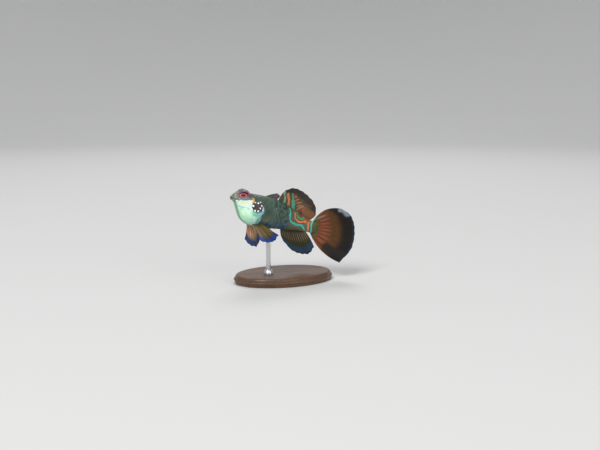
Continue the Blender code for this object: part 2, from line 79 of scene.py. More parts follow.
# Head.
EYE_RADIUS = 2.0
EYE_DEPTH = 1.5
EYE_CENTRE = (4.75, 2.45, 2.4)
EYE_GAZE_UP = 26.0
EYE_GAZE_FORWARD = 10.0
EYE_ROLL = 20.0
OPENING_HALF = (1.85, 1.12)
LID_RISE = 0.12
LID_WIDTH = 0.15
LID_THICK = 0.14
LID_FOLD = (0.84, 1.12)  # where the lid folds in, as shares of the opening; so are the next ones
LID_MIDDLE = 1.17
LID_END = (1.5, 2.2)
LID_CREASE, LID_CREASE_WIDTH, LID_CREASE_DEPTH = 1.75, 0.16, 0.08
SOCKET_DEPTH = 0.9
ORBIT_RISE = 2.1
ORBIT_SPREAD = 2.65
GILL_EDGE = 14.0
GILL_COVER_RISE = 0.45
GILL_COVER_START = 8.5
GILL_COVER_LEVEL = -2.5
GILL_COVER_SPREAD = 5.0
GILL_COVER_LENGTH = 4.5
GILL_GROOVE_DEPTH = 0.16
GILL_GROOVE_BEHIND = 0.45  # how far behind the gill cover's edge
GILL_GROOVE_WIDTH = 0.22
GILL_GROOVE_SPREAD = 6.0
GILL_PORE = (12.6, 3.6, 0.42)  # x, y, radius
MOUTH_LEVEL = -0.25
MOUTH_SLOPE = 0.06
MOUTH_END = 3.6
MOUTH_GROOVE = 0.55
MOUTH_HALF_OPEN = 0.13
LIP_RISE = 0.25
LIP_OFFSET = 0.5
LIP_WIDTH = 0.36
NOSTRILS = ((0.95, 0.9, 0.2), (1.6, 1.2, 0.2))  # x, y, radius
NOSTRIL_RIM, NOSTRIL_DEPTH = 0.10, 0.45
PORE_RIM, PORE_DEPTH = 0.12, 0.6
SHOULDER_BUMP = (15.0, -1.6, 0.55)  # x, z, rise of the fleshy root of the pectoral fin
SHOULDER_SPREAD = (1.3, 1.9)
LATERAL_LINE_RISE = 0.05
LATERAL_LINE_WIDTH = 0.22
LATERAL_LINE_LEVEL = 1.3
LATERAL_LINE_FALL = 0.02
LATERAL_LINE_START = (15.5, 17.0)  # where it begins to show, and where it is full
LATERAL_LINE_END = (41.0, 43.0)
CHEEK_SPINE_ROOT = (9.7, -3.4)
CHEEK_SPINE_TIP = (11.7, -3.1)
CHEEK_SPINE_RADIUS = 0.26
CHEEK_SPINE_TIP_RADIUS = 0.03
CHEEK_SPINE_SIDES = 12
PUPIL_EDGE = 0.46  # radius at the iris's inner edge, before it is drawn out along the eye
PUPIL_STRETCH = 0.75
PUPIL_NARROWING = 0.15
PUPIL_DEPTH = 0.64
CORNEA_INSIDE = 0.955  # of the cornea's outer size

# Fineness of the skin.
HEAD_RINGS = 200
HEAD_RINGS_END = 15.0
BODY_RINGS = 172
SKIN_SIDES = 244

# Fins: see fin_surface. Each station gives, from the first ray (0) to the last (1), the ray's
# root, its tip, and how far it bulges away from the fin's middle line. A root given as (x, y)
# takes its height from the back or the belly.
ROOT_SINK = 1.1
FIN_COLUMNS = 10
FIN_ROWS = 34
FORKS = (0.42, 0.72)
PECTORAL_FIN = dict(
    rays=14, edge="side", wave=0.25, scallop=0.03, sag=0.08, girth=0.075, forked=True,
    stations=(
        (0.0, (14.1, 5.4, 0.6), (23.1, 9.2, 3.4), 0.5),
        (0.5, (14.2, 5.4, -1.4), (24.7, 10.0, -1.6), 0.0),
        (1.0, (14.1, 5.0, -3.6), (20.5, 9.0, -7.2), -0.5),
    ),
)


def mirrored(fin):
    """The same fin on the fish's other side."""
    stations = [
        (share, (root[0], -root[1], root[2]), (tip[0], -tip[1], tip[2]), bulge)
        for share, root, tip, bulge in fin["stations"]
    ]
    return dict(fin, stations=stations)


FINS = {
    "first_dorsal_fin": dict(
        rays=4, edge="back", wave=0.0, scallop=0.12, sag=0.10, girth=0.20, forked=False,
        stations=(
            (0.0, (14.3, 0.0), (20.6, 0.0, 9.1), -0.4),
            (0.5, (16.9, 0.0), (21.6, 0.0, 8.9), -0.3),
            (1.0, (20.4, 0.0), (22.4, 0.0, 8.3), 0.0),
        ),
    ),
    "second_dorsal_fin": dict(
        rays=8, edge="back", wave=0.5, scallop=0.02, sag=0.16, girth=0.17, forked=True,
        stations=(
            (0.0, (22.2, 0.0), (23.8, 0.0, 11.8), -0.5),
            (0.15, (24.5, 0.0), (26.5, 0.0, 13.8), -0.4),
            (0.3, (26.9, 0.0), (29.7, 0.0, 14.4), -0.3),
            (0.45, (29.3, 0.0), (33.1, 0.0, 14.1), -0.1),
            (0.6, (31.6, 0.0), (36.3, 0.0, 13.1), 0.0),
            (0.75, (33.9, 0.0), (39.3, 0.0, 11.4), 0.2),
            (0.88, (36.4, 0.0), (41.6, 0.0, 8.9), 0.35),
            (1.0, (38.9, 0.0), (42.5, 0.0, 5.9), 0.5),
        ),
    ),
    "anal_fin": dict(
        rays=8, edge="belly", wave=0.5, scallop=0.025, sag=0.16, girth=0.17, forked=True,
        stations=(
            (0.0, (27.7, 0.0), (31.9, 0.0, -10.4), 0.7),
            (0.25, (30.5, 0.0), (36.3, 0.0, -12.6), 0.4),
            (0.5, (33.3, 0.0), (40.7, 0.0, -13.3), 0.1),
            (0.75, (36.1, 0.0), (44.3, 0.0, -12.3), -0.2),
            (1.0, (38.7, 0.0), (45.7, 0.0, -8.6), -0.5),
        ),
    ),
    "tail_fin": dict(
        rays=10, edge="end", wave=0.6, scallop=0.008, sag=0.14, girth=0.22, forked=True,
        stations=(
            (0.0, (43.4, 0.0, 2.6), (54.2, 0.0, 11.4), -2.7),
            (0.17, (43.4, 0.0, 1.7), (58.2, 0.0, 9.8), -1.4),
            (0.33, (43.4, 0.0, 0.8), (60.7, 0.0, 6.8), -0.4),
            (0.5, (43.4, 0.0, 0.0), (62.2, 0.0, 3.0), 0.0),
            (0.67, (43.4, 0.0, -0.8), (62.9, 0.0, -1.8), 0.4),
            (0.83, (43.4, 0.0, -1.6), (62.3, 0.0, -6.6), 1.0),
            (1.0, (43.4, 0.0, -2.3), (58.7, 0.0, -13.1), 2.1),
        ),
    ),
    "pectoral_fin_left": PECTORAL_FIN,
    "pectoral_fin_right": mirrored(PECTORAL_FIN),
    "pelvic_fin_left": dict(
        rays=6, edge="side", wave=0.5, scallop=0.03, sag=0.2, girth=0.2, forked=True,
        stations=(
            (0.0, (11.7, 2.8, -7.0), (15.5, 8.2, -13.0), 0.6),
            (0.35, (12.9, 3.3, -6.8), (18.9, 9.6, -13.6), 0.2),
            (0.7, (14.3, 3.8, -6.3), (21.9, 9.6, -12.0), 0.0),
            (1.0, (15.5, 4.2, -5.7), (23.7, 8.4, -8.4), -0.5),
        ),
    ),
    "pelvic_fin_right": dict(
        rays=6, edge="side", wave=0.5, scallop=0.03, sag=0.2, girth=0.2, forked=True,
        stations=(
            (0.0, (11.7, -2.8, -7.0), (15.7, -5.9, -15.4), 0.6),
            (0.35, (12.9, -3.3, -6.8), (19.7, -6.6, -17.0), 0.2),
            (0.7, (14.3, -3.8, -6.3), (23.5, -7.0, -15.8), 0.0),
            (1.0, (15.5, -4.2, -5.7), (24.5, -7.4, -12.0), -0.5),
        ),
    ),
}
MEMBRANE = 0.16
MEMBRANE_MARGIN = 0.09

# Markings on the straight fish seen from its side, in millimetres. A stroke has the points
# (x, z) of its middle and its half width, and a spot has x, z and its radius. Those whose names
# start with fin_ and tail_ are on the second dorsal fin and the tail fin alone.
STROKES = {
    "turquoise_mark": (
        (((28.0, 4.4), (28.2, 2.8), (28.7, 0.8), (29.7, -0.4), (31.4, -1.1), (33.4, -1.1),
          (35.7, -0.8), (37.5, -0.9), (38.7, -1.8), (39.5, -3.0)), 0.45),
        (((41.7, 2.4), (41.7, 0.8), (42.0, -1.0), (42.6, -2.8)), 0.34),
    ),
    "orange_mark": (
        (((31.3, 3.6), (31.5, 2.4), (31.9, 1.4), (33.2, 0.7), (34.7, 0.6), (36.6, 1.1), (38.2, 1.6)), 0.40),
        (((39.9, 1.5), (40.0, 0.4), (40.4, -1.0), (41.1, -2.8)), 0.42),
    ),
    "green_mark": (
        (((32.3, 5.2), (32.6, 3.6), (33.2, 2.5), (34.3, 2.1), (35.7, 2.4), (36.8, 3.1), (37.6, 4.4)), 0.34),
    ),
    "dull_green_mark": (
        (((18.4, 6.6), (18.3, 5.0), (18.4, 2.8)), 0.38),
        (((21.2, 6.6), (21.1, 5.0), (21.0, 2.8)), 0.38),
        (((16.2, 5.6), (16.4, 4.0), (16.3, 2.2)), 0.22),
        (((23.3, 6.2), (23.5, 4.4), (23.3, 3.0)), 0.25),
    ),
    "purple_mark": (
        (((19.7, 9.0), (19.7, 6.2), (19.9, 4.9)), 0.62),
        (((19.8, 3.6), (19.8, 2.5)), 0.55),
        (((28.2, 0.9), (28.6, -0.8)), 0.25),
    ),
    "root_brown_mark": ((((42.7, 2.6), (42.7, 0.2), (43.2, -1.4), (43.8, -2.8)), 0.20),),
    "eye_band": ((((3.1, 0.45), (4.4, 1.05), (6.0, 1.6), (7.2, 2.1), (8.2, 2.55)), 0.34),),
    "bar_shade": ((((19.8, 5.0), (19.9, 3.4)), 0.75),),
    "pale_blue_mark": (
        (((13.9, 0.6), (14.1, -0.8), (14.0, -2.6), (14.1, -4.6), (14.4, -6.6), (14.2, -8.4)), 0.40),
        (((11.2, -3.1), (12.3, -3.1), (13.4, -2.4)), 0.26),
        (((4.1, -2.2), (5.3, -2.4), (6.4, -2.3)), 0.30),
        (((6.6, -2.2), (7.6, -1.9), (8.4, -1.8)), 0.14),
    ),
    "gold_mark": ((((8.85, 2.6), (9.05, 1.7)), 0.5),),
    "amber_mark": (
        (((37.0, 3.0), (38.6, 1.9), (40.6, 2.4)), 1.1),
        (((36.2, 6.4), (38.2, 5.6), (41.2, 5.2)), 1.5),
    ),
    "yellow_mark": ((((4.7, -1.0), (5.8, -0.4), (7.0, 0.1)), 0.50),),
    "pale_mark": (
        (((19.2, 1.6), (18.9, -0.6), (18.6, -3.0)), 0.20),
        (((20.3, 1.9), (20.1, -0.6), (19.9, -3.2)), 0.30),
        (((21.6, 1.4), (21.5, -0.8), (21.2, -3.0)), 0.20),
        (((24.0, 2.4), (26.2, 2.0)), 0.1),
        (((24.2, 0.9), (26.6, 0.5)), 0.1),
    ),
    "fin_green_mark": (
        (((27.9, 11.6), (28.5, 10.2), (29.1, 8.8)), 0.42),
        (((29.3, 8.6), (29.9, 7.4), (30.5, 5.6)), 0.82),
    ),
    "fin_pale_mark": (
        (((23.6, 11.0), (23.9, 9.7)), 0.52),
        (((24.6, 8.7), (24.8, 8.0)), 0.55),
        (((25.1, 7.1), (25.4, 6.4)), 0.48),
    ),
    "fin_salmon_mark": ((((25.5, 10.4), (26.8, 8.9), (27.2, 8.0), (27.4, 6.5), (27.8, 5.4)), 0.62),),
    "fin_tan_mark": (
        (((29.7, 10.6), (30.1, 11.0)), 0.34),
        (((30.7, 9.1), (31.8, 10.1)), 0.30),
        (((31.6, 8.0), (33.6, 9.3)), 0.26),
        (((32.2, 7.0), (34.2, 8.3)), 0.24),
        (((33.0, 6.4), (35.4, 7.8)), 0.30),
        (((32.6, 5.5), (34.1, 6.7)), 0.24),
    ),
    "fin_rust_mark": (
        (((29.6, 11.2), (30.6, 9.9), (32.2, 8.4), (33.6, 6.6)), 0.95),
        (((36.2, 7.6), (39.2, 7.3)), 0.45),
        (((37.0, 9.0), (39.0, 8.9)), 0.22),
    ),
    "tail_green_mark": ((((41.9, 0.5), (41.9, 2.2), (42.9, 3.8), (44.6, 5.2), (46.8, 6.7)), 0.30),),
    "tail_olive_mark": ((((43.8, 3.4), (44.7, 1.2), (44.9, -1.2), (44.4, -4.0)), 1.0),),
    "tail_blue_mark": ((((53.4, 10.9), (55.4, 10.4), (57.2, 9.3)), 0.9),),
    "tail_dark_mark": ((((51.2, -7.6), (54.2, -8.8), (58.6, -9.2)), 2.1),),
}
SPOTS = {
    "deep_blue_mark": (
        (24.3, -4.6, 1.0), (28.4, -3.7, 0.9), (20.5, -4.2, 0.8), (26.2, -2.4, 0.45),
        (22.3, -3.1, 0.4), (31.2, -3.2, 0.4), (17.6, -6.6, 0.5),
    ),
    "red_mark": ((35.6, 6.1, 0.5), (36.8, 1.9, 0.5)),
    "maroon_mark": ((35.2, 4.3, 0.75),),
    "white_dots": (
        (11.2, 1.7, 0.4), (13.0, 1.0, 0.3), (9.6, 0.0, 0.42), (12.4, -0.1, 0.32),
        (9.2, -1.6, 0.36), (10.8, -2.1, 0.4), (12.2, -1.6, 0.36), (13.5, -0.6, 0.26),
        (8.6, 1.7, 0.3), (12.2, 2.4, 0.24), (9.9, 1.6, 0.24),
    ),
    "dark_patch": ((11.4, 0.0, 2.3),),
    "dark_centre": ((11.5, 0.1, 0.8),),
    "brown_patch": ((17.0, -3.7, 1.7),),
}
MINT_TOP = (  # x and level of the upper edge of the pale area of cheek, gill cover and throat
    (0.8, -1.4), (2.2, -0.3), (5.0, 0.8), (8.0, 1.9), (9.2, 0.3), (10.0, -2.2), (11.0, -3.2),
    (12.4, -3.4), (14.0, -2.0),
)
SKIN_MARKS = [name for name in (*STROKES, *SPOTS, "mint_area") if not name.startswith(("fin_", "tail_"))]
FIN_MARKS = {
    "first_dorsal_fin": ("dull_green_mark", "purple_mark"),
    "second_dorsal_fin": (
        "fin_green_mark", "fin_pale_mark", "fin_salmon_mark", "fin_tan_mark", "fin_rust_mark",
        "amber_mark", "maroon_mark", "red_mark",
    ),
    "tail_fin": ("tail_green_mark", "tail_olive_mark", "tail_blue_mark", "tail_dark_mark"),
}

# Camera, fitted to the photo.
CAMERA_AZIMUTH = -30.0
CAMERA_ELEVATION = 8.0
CAMERA_DISTANCE = 0.42
CAMERA_TARGET = (0.0059, -0.0049, 0.0258)
CAMERA_LENS = 55.4
SENSOR_WIDTH = 36.0
FLOOR_RADIUS = 1.2  # of its flat part, in metres
FLOOR_SWEEP = 0.8  # radius of the curve up to its edge
FLOOR_SIDES = 96
SKY_STRENGTH = 0.42
LIGHTS = (  # name, azimuth, elevation, distance and size in metres, power in watts
    ("key_light", -52.0, 42.0, 1.50, 0.55, 15.0),
    ("fill_light", 14.0, 24.0, 1.50, 0.90, 5.0),
    ("back_light", 150.0, 50.0, 1.40, 0.60, 6.0),
)


def curve_through(stations):
    """A smooth curve through (x, value) pairs, held level past its ends."""
    xs, values = (np.array(column, float) for column in zip(*stations))
    slopes = np.gradient(values, xs)

    def value_at(x):
        i = np.clip(np.searchsorted(xs, x) - 1, 0, len(xs) - 2)
        span = xs[i + 1] - xs[i]
        t = np.clip((x - xs[i]) / span, 0.0, 1.0)
        start = (1 + 2 * t) * (1 - t) ** 2 * values[i] + t * (1 - t) ** 2 * span * slopes[i]
        end = t * t * (3 - 2 * t) * values[i + 1] + t * t * (t - 1) * span * slopes[i + 1]
        return start + end

    return value_at


def column(rows, index):
    """The (first value, value at index) pairs of a table."""
    return [(row[0], row[index]) for row in rows]


back = curve_through(column(BODY_SECTIONS, 1))
belly = curve_through(column(BODY_SECTIONS, 2))
half_width = curve_through(column(BODY_SECTIONS, 3))
widest_level = curve_through(column(BODY_SECTIONS, 4))
fullness_above = curve_through(column(BODY_SECTIONS, 5))
fullness_below = curve_through(column(BODY_SECTIONS, 6))
spine_fall = curve_through(SPINE_FALL)
spine_swing = curve_through(SPINE_SWING)


def points(*axes):
    """Points from their coordinates, with the axes last."""
    return np.stack(np.broadcast_arrays(*[np.asarray(a, float) for a in axes]), axis=-1)


def unit(vectors):
    """Vectors at length one."""
    return vectors / np.maximum(1e-9, np.linalg.norm(vectors, axis=-1, keepdims=True))


def smooth_step(value, start, end):
    """0 before start, 1 after end, and a smooth rise between."""
    share = np.clip((value - start) / (end - start), 0.0, 1.0)
    return share * share * (3 - 2 * share)


def bell(value, width):
    """1 at zero, falling away over the width on both sides."""
    return np.exp(-((value / width) ** 2))


def spine_axes(x):
    """Backward, left and up directions of the posed fish at x."""
    fall, swing = np.radians(spine_fall(x)), np.radians(spine_swing(x))
    backward = points(np.cos(swing) * np.cos(fall), -np.sin(swing) * np.cos(fall), -np.sin(fall))
    left = points(-np.sin(swing), -np.cos(swing), 0.0)
    return backward, left, np.cross(left, backward)


SPINE_STEP = 0.25
SPINE_X = np.arange(0.0, 70.0, SPINE_STEP)
SPINE = np.vstack(
    [
        [(*SPINE_START, SPINE_HEIGHT)],
        np.array([(*SPINE_START, SPINE_HEIGHT)])
        + np.cumsum(spine_axes(SPINE_X[:-1] + SPINE_STEP / 2)[0] * SPINE_STEP, axis=0),
    ]
)


def posed(straight):
    """Points of the straight fish, in millimetres, at their place in the pose, in metres."""
    x, y, z = straight[..., 0], straight[..., 1], straight[..., 2]
    backward, left, up = spine_axes(x)
    centre = points(*[np.interp(x, SPINE_X, SPINE[:, k]) for k in range(3)])
    centre = centre + backward * np.minimum(x, 0.0)[..., None]
    return (centre + left * y[..., None] + up * z[..., None]) * MM


def eye_axes(side):
    """Directions of one eye on the straight fish: out, back along its opening, and up."""
    up, forward, roll = (math.radians(a) for a in (EYE_GAZE_UP, EYE_GAZE_FORWARD, EYE_ROLL))
    out = points(-math.sin(forward) * math.cos(up), side * math.cos(forward) * math.cos(up), math.sin(up))
    along = points(math.cos(roll), 0.0, math.sin(roll))
    along = unit(along - out * along.dot(out))
    over = np.cross(out, along) * -side
    return out, along, over


def in_eye_frame(straight):
    """Back along the opening, up across it, and out from the eye's centre, on either side."""
    out, along, over = eye_axes(1)
    mirrored = points(straight[..., 0], np.abs(straight[..., 1]), straight[..., 2])
    offset = mirrored - points(*EYE_CENTRE)
    return offset @ along, offset @ over, offset @ out


def gill_edge(z):
    """Where the gill cover ends at each level."""
    return GILL_EDGE + 0.25 * np.sin((z + 2.0) * 0.7) - 0.9 * smooth_step(z, 0.5, 5.0)


def mouth_line(x):
    """The level of the mouth at x."""
    return MOUTH_LEVEL + MOUTH_SLOPE * x


def relief(p):
    """How far the eyes' domes, the gill covers, the lips and smaller folds stand out."""
    x, y, z = p[..., 0], np.abs(p[..., 1]), p[..., 2]
    along, over, _ = in_eye_frame(p)
    from_axis = np.hypot(along, over)
    rise = ORBIT_RISE * np.exp(-((from_axis / ORBIT_SPREAD) ** 3))
    cover = smooth_step(x, GILL_COVER_START, GILL_COVER_START + GILL_COVER_LENGTH)
    cover = cover * bell(z - GILL_COVER_LEVEL, GILL_COVER_SPREAD)
    past_edge = x - gill_edge(z)
    rise = rise + GILL_COVER_RISE * cover * (1 - smooth_step(past_edge, -0.1, 0.4))
    groove = GILL_GROOVE_DEPTH * bell(past_edge - GILL_GROOVE_BEHIND, GILL_GROOVE_WIDTH)
    rise = rise - groove * bell(z - GILL_COVER_LEVEL, GILL_GROOVE_SPREAD)
    from_mouth = np.abs(z - mouth_line(x))
    at_lips = smooth_step(x, 0.0, 0.3) * (1 - smooth_step(x, MOUTH_END - 1.2, MOUTH_END + 0.4))
    rise = rise + LIP_RISE * bell(from_mouth - LIP_OFFSET, LIP_WIDTH) * at_lips
    at_mouth = 1 - smooth_step(x, MOUTH_END - 0.7, MOUTH_END)
    rise = rise - MOUTH_GROOVE * bell(from_mouth, MOUTH_HALF_OPEN) * at_mouth
    for px, py, radius in NOSTRILS:
        near = np.hypot(x - px, y - py)
        rim = NOSTRIL_RIM * bell(near - radius * 1.5, 0.1)
        rise = rise + (z > 0.3) * (rim - NOSTRIL_DEPTH * bell(near, radius * 0.8))
    px, py, radius = GILL_PORE
    near = np.hypot((x - px) * 0.8, y - py)
    rim = PORE_RIM * bell(near - radius * 1.5, 0.16)
    rise = rise + (z > 2.0) * (rim - PORE_DEPTH * bell(near, radius * 0.8))
    px, pz, height = SHOULDER_BUMP
    rise = rise + height * bell(x - px, SHOULDER_SPREAD[0]) * bell(z - pz, SHOULDER_SPREAD[1])
    along_side = smooth_step(x, *LATERAL_LINE_START) * (1 - smooth_step(x, *LATERAL_LINE_END))
    from_line = z - LATERAL_LINE_LEVEL + LATERAL_LINE_FALL * x
    return rise + LATERAL_LINE_RISE * bell(from_line, LATERAL_LINE_WIDTH) * along_side


def body_surface(x, angle):
    """The skin at x. angle 0 is the back, and a quarter turn is the fish's left."""
    side, up = np.sin(angle), np.cos(angle)
    level = widest_level(x)
    reach = np.where(up > 0, back(x) - level, level - belly(x))
    fullness = np.where(up > 0, fullness_above(x), fullness_below(x))
    y = half_width(x) * np.sign(side) * np.abs(side) ** (2 / fullness)
    z = reach * np.sign(up) * np.abs(up) ** (2 / fullness)
    plain = points(x, y, level + z)
    arm = unit(points(0 * x, y, z))
    return plain + arm * relief(plain)[..., None]


def eye_opening(straight):
    """1 on the edge of the opening between the lids, and less inside it."""
    along, over, _ = in_eye_frame(straight)
    return np.hypot(along / OPENING_HALF[0], over / OPENING_HALF[1])


def with_eye_openings(straight):
    """The skin folded in round each eye: a thick lid edge, then a wall behind the eyeball."""
    along, over, out = in_eye_frame(straight)
    near = np.hypot(along, over) < ORBIT_SPREAD * 1.6
    near = near & (out > -0.8)
    opening = eye_opening(straight)
    eyeball = EYE_DEPTH * np.sqrt(np.clip(1 - (along**2 + over**2) / EYE_RADIUS**2, 0.0, 1.0))
    behind = eyeball - SOCKET_DEPTH
    inside = 1 - smooth_step(opening, *LID_FOLD)
    lid = LID_RISE * bell(opening - LID_MIDDLE, LID_WIDTH)
    lid = lid - LID_CREASE_DEPTH * bell(opening - LID_CREASE, LID_CREASE_WIDTH)
    cover = np.maximum(0.0, eyeball + LID_THICK - out) * (1 - smooth_step(opening, *LID_END))
    moved = np.where(near, (behind - out) * inside + (lid + cover) * (1 - inside), 0.0)
    axis = eye_axes(1)[0]
    side = np.sign(straight[..., 1])
    return straight + moved[..., None] * points(axis[0], side * axis[1], axis[2])


def mesh_piece(name, vertices, faces, material):
    """A new smooth object at the origin, with its place in its mesh."""
    mesh = bpy.data.meshes.new(name)
    mesh.from_pydata(np.asarray(vertices).reshape(-1, 3).tolist(), [], [list(f) for f in faces])
    mesh.update()
    mesh.materials.append(material)
    mesh.shade_smooth()
    obj = bpy.data.objects.new(name, mesh)
    bpy.context.scene.collection.objects.link(obj)
    return obj


def store(obj, name, values):
    """Keeps a number or a vector for each vertex, for the materials to read."""
    values = np.asarray(values, np.float32)
    kind = "FLOAT_VECTOR" if values.ndim == 2 else "FLOAT"
    layer = obj.data.attributes.new(name, kind, "POINT")
    layer.data.foreach_set("vector" if kind == "FLOAT_VECTOR" else "value", values.ravel())


def grid_faces(rows, columns, closed=False):
    """Quads of a grid of vertices, closed round each row if asked."""
    i, j = np.meshgrid(np.arange(rows - 1), np.arange(columns if closed else columns - 1), indexing="ij")
    following = (j + 1) % columns
    a, b = i * columns + j, i * columns + following
    c, d = (i + 1) * columns + following, (i + 1) * columns + j
    return np.stack([a, b, c, d], axis=-1).reshape(-1, 4)


def tube_faces(rows, around):
    """Faces of a tube of rings, closed by fans to two more points, one for each end."""
    faces = [tuple(f) for f in grid_faces(rows, around, closed=True)]
    count = rows * around
    for j in range(around):
        following = (j + 1) % around
        faces.append((count, following, j))
        faces.append((count + 1, count - around + j, count - around + following))
    return faces


def from_stroke(x, z, path, half):
    """Distance from the edge of a painted stroke, negative inside it."""
    path = np.array(path, float)
    fine = np.linspace(0, len(path) - 1, len(path) * 6)
    path = points(*[curve_through(list(enumerate(path[:, k])))(fine) for k in range(2)])
    nearest = np.full(x.shape, 1e3)
    for (ax, az), (bx, bz) in zip(path, path[1:]):
        dx, dz = bx - ax, bz - az
        t = np.clip(((x - ax) * dx + (z - az) * dz) / (dx * dx + dz * dz), 0.0, 1.0)
        nearest = np.minimum(nearest, np.hypot(x - ax - t * dx, z - az - t * dz))
    return nearest - half


def from_strokes(x, z, strokes):
    """Distance from the nearest of several strokes."""
    return np.minimum.reduce([from_stroke(x, z, path, half) for path, half in strokes])


def from_spots(x, z, spots):
    """Distance from the nearest of several round spots."""
    return np.minimum.reduce([np.hypot(x - sx, z - sz) - radius for sx, sz, radius in spots])


def hand_warp(straight):
    """Small shifts that keep painted marks from being ruled lines, other on each side."""
    x, y, z = straight[..., 0], straight[..., 1], straight[..., 2]
    turn = np.where(y >= 0, 0.0, 1.9)
    dx = 0.16 * np.sin(1.7 * z + 0.9 * x + turn) + 0.10 * np.sin(3.9 * z - 1.3 * x + 2 * turn)
    dz = 0.14 * np.sin(1.5 * x - 0.8 * z + turn) + 0.09 * np.sin(4.1 * x + 1.1 * z + 2 * turn)
    return x + dx, z + dz


def mint_area(x, y, z):
    """Distance from the edge of the pale area of cheek, gill cover and throat, negative inside."""
    top = np.interp(x, *zip(*MINT_TOP))
    front = x - (2.5 + 0.10 * np.abs(z))
    rear = gill_edge(z) - 0.2 - x
    beside = (np.abs(y) - 1.7) * 0.8
    return -np.minimum.reduce([(top - z) * 0.85, front, rear, beside])


def marks_on(straight):
    """Every painted mark as a distance from its edge, in millimetres."""
    x, z = hand_warp(straight)
    marks = {name: from_strokes(x, z, strokes) for name, strokes in STROKES.items()}
    marks.update({name: from_spots(x, z, spots) for name, spots in SPOTS.items()})
    marks["mint_area"] = mint_area(x, straight[..., 1], z)
    return marks


def ring_arcs(x, sides):
    """Half rings of the skin at each x, from the back down to the belly, and how far round from
    the back each of their points is."""
    angle = np.linspace(0.0, math.pi, sides)
    rings = body_surface(*np.meshgrid(x, angle, indexing="ij"))
    steps = np.linalg.norm(np.diff(rings, axis=1), axis=-1)
    return rings, np.concatenate([np.zeros((len(x), 1)), np.cumsum(steps, axis=1)], axis=1)


BAND_CELL = 0.2
BAND_REACH = 0.34  # how far a coloured cell helps its neighbours, in millimetres
BAND_HOLD = 0.68  # how far it holds them back
BAND_STEPS = 60
BAND_GAIN = 9.0
BAND_SEED = 11
GIVEN_PULL = 1.2  # how strongly the painted strokes draw the bands
GIVEN_FADE = 0.4  # how far outside a stroke that reaches
GIVEN_MARKS = (("orange_mark", 1.0), ("turquoise_mark", -1.0), ("green_mark", -1.0), ("purple_mark", -0.8))
BAND_X = np.arange(-3.0, 48.2, BAND_CELL)
BAND_ROUND = np.arange(-25.6, 25.6, BAND_CELL)


def banding():
    """The fish's maze of bands, on the skin laid flat: from 1 in a band's middle to -1 between
    two bands. Each place is coloured by its near neighbours and held back by farther ones, as in
    a growing skin, and the painted strokes are given."""
    rings, arcs = ring_arcs(np.clip(BAND_X, 0.02, None), 90)
    level_at = np.array([np.interp(np.abs(BAND_ROUND), arc, ring[:, 2]) for arc, ring in zip(arcs, rings)])
    side = np.broadcast_to(np.sign(BAND_ROUND), level_at.shape)
    place = points(np.broadcast_to(BAND_X[:, None], level_at.shape), side, level_at)
    marks = marks_on(place)
    given = np.zeros(level_at.shape)
    for name, sign in GIVEN_MARKS:
        given += sign * np.clip(1 - marks[name] / GIVEN_FADE, 0, 1)
    waves = [np.fft.fftfreq(n, BAND_CELL) * 2 * math.pi for n in level_at.shape]
    square = waves[0][:, None] ** 2 + waves[1][None, :] ** 2
    spread = np.exp(-square * BAND_REACH**2 / 2) - np.exp(-square * BAND_HOLD**2 / 2)
    level = 0.5 * np.random.default_rng(BAND_SEED).standard_normal(level_at.shape)
    for _ in range(BAND_STEPS):
        pull = np.fft.ifft2(np.fft.fft2(level) * spread).real
        level = np.tanh(BAND_GAIN * pull + GIVEN_PULL * given)
    return level


def read_bands(bands, x, arc):
    """The bands' values at places x along the fish and arc round from its back."""
    rows = np.clip((x - BAND_X[0]) / BAND_CELL, 0, len(BAND_X) - 1.001)
    columns = np.clip((arc - BAND_ROUND[0]) / BAND_CELL, 0, len(BAND_ROUND) - 1.001)
    r, c = np.floor(rows).astype(int), np.floor(columns).astype(int)
    tr, tc = rows - r, columns - c
    upper = bands[r, c] * (1 - tc) + bands[r, c + 1] * tc
    lower = bands[r + 1, c] * (1 - tc) + bands[r + 1, c + 1] * tc
    return upper * (1 - tr) + lower * tr


def store_marks(obj, straight, names):
    """Keeps the distances from the named marks on a piece."""
    marks = marks_on(straight)
    for name in names:
        store(obj, name, marks[name])


def make_skin(material):
    """One skin from snout to tail, closed at both ends."""
    head_x = np.linspace(0.02, HEAD_RINGS_END, HEAD_RINGS, endpoint=False)
    body_x = np.linspace(HEAD_RINGS_END, BODY_SECTIONS[-1][0], BODY_RINGS)
    x = np.concatenate([head_x, body_x])
    angle = np.arange(SKIN_SIDES) * 2 * math.pi / SKIN_SIDES
    grid_x, grid_angle = np.meshgrid(x, angle, indexing="ij")
    straight = with_eye_openings(body_surface(grid_x, grid_angle))
    flat = straight.reshape(-1, 3)
    ends = [straight[0].mean(axis=0) - (0.12, 0, 0), straight[-1].mean(axis=0) + (0.05, 0, 0)]
    flat = np.vstack([flat, ends])
    skin = mesh_piece("skin", posed(flat), tube_faces(len(x), SKIN_SIDES), material)
    face_outwards(skin)
    store(skin, "straight", flat)
    _, arcs = ring_arcs(x, SKIN_SIDES // 2 + 1)
    arcs = np.concatenate([arcs, -arcs[:, -2:0:-1]], axis=1)
    maze = read_bands(banding(), grid_x, arcs)
    store(skin, "bands", np.concatenate([maze.ravel(), [0.0, 0.0]]))
    store_marks(skin, flat, SKIN_MARKS)
    store(skin, "from_opening", eye_opening(flat))
    inside_mouth = np.abs(flat[:, 2] - mouth_line(flat[:, 0])) + 4 * np.maximum(0, flat[:, 0] - MOUTH_END)
    store(skin, "from_mouth", inside_mouth)
    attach(skin, "root")
    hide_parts("head", "trunk", "tail_stalk")


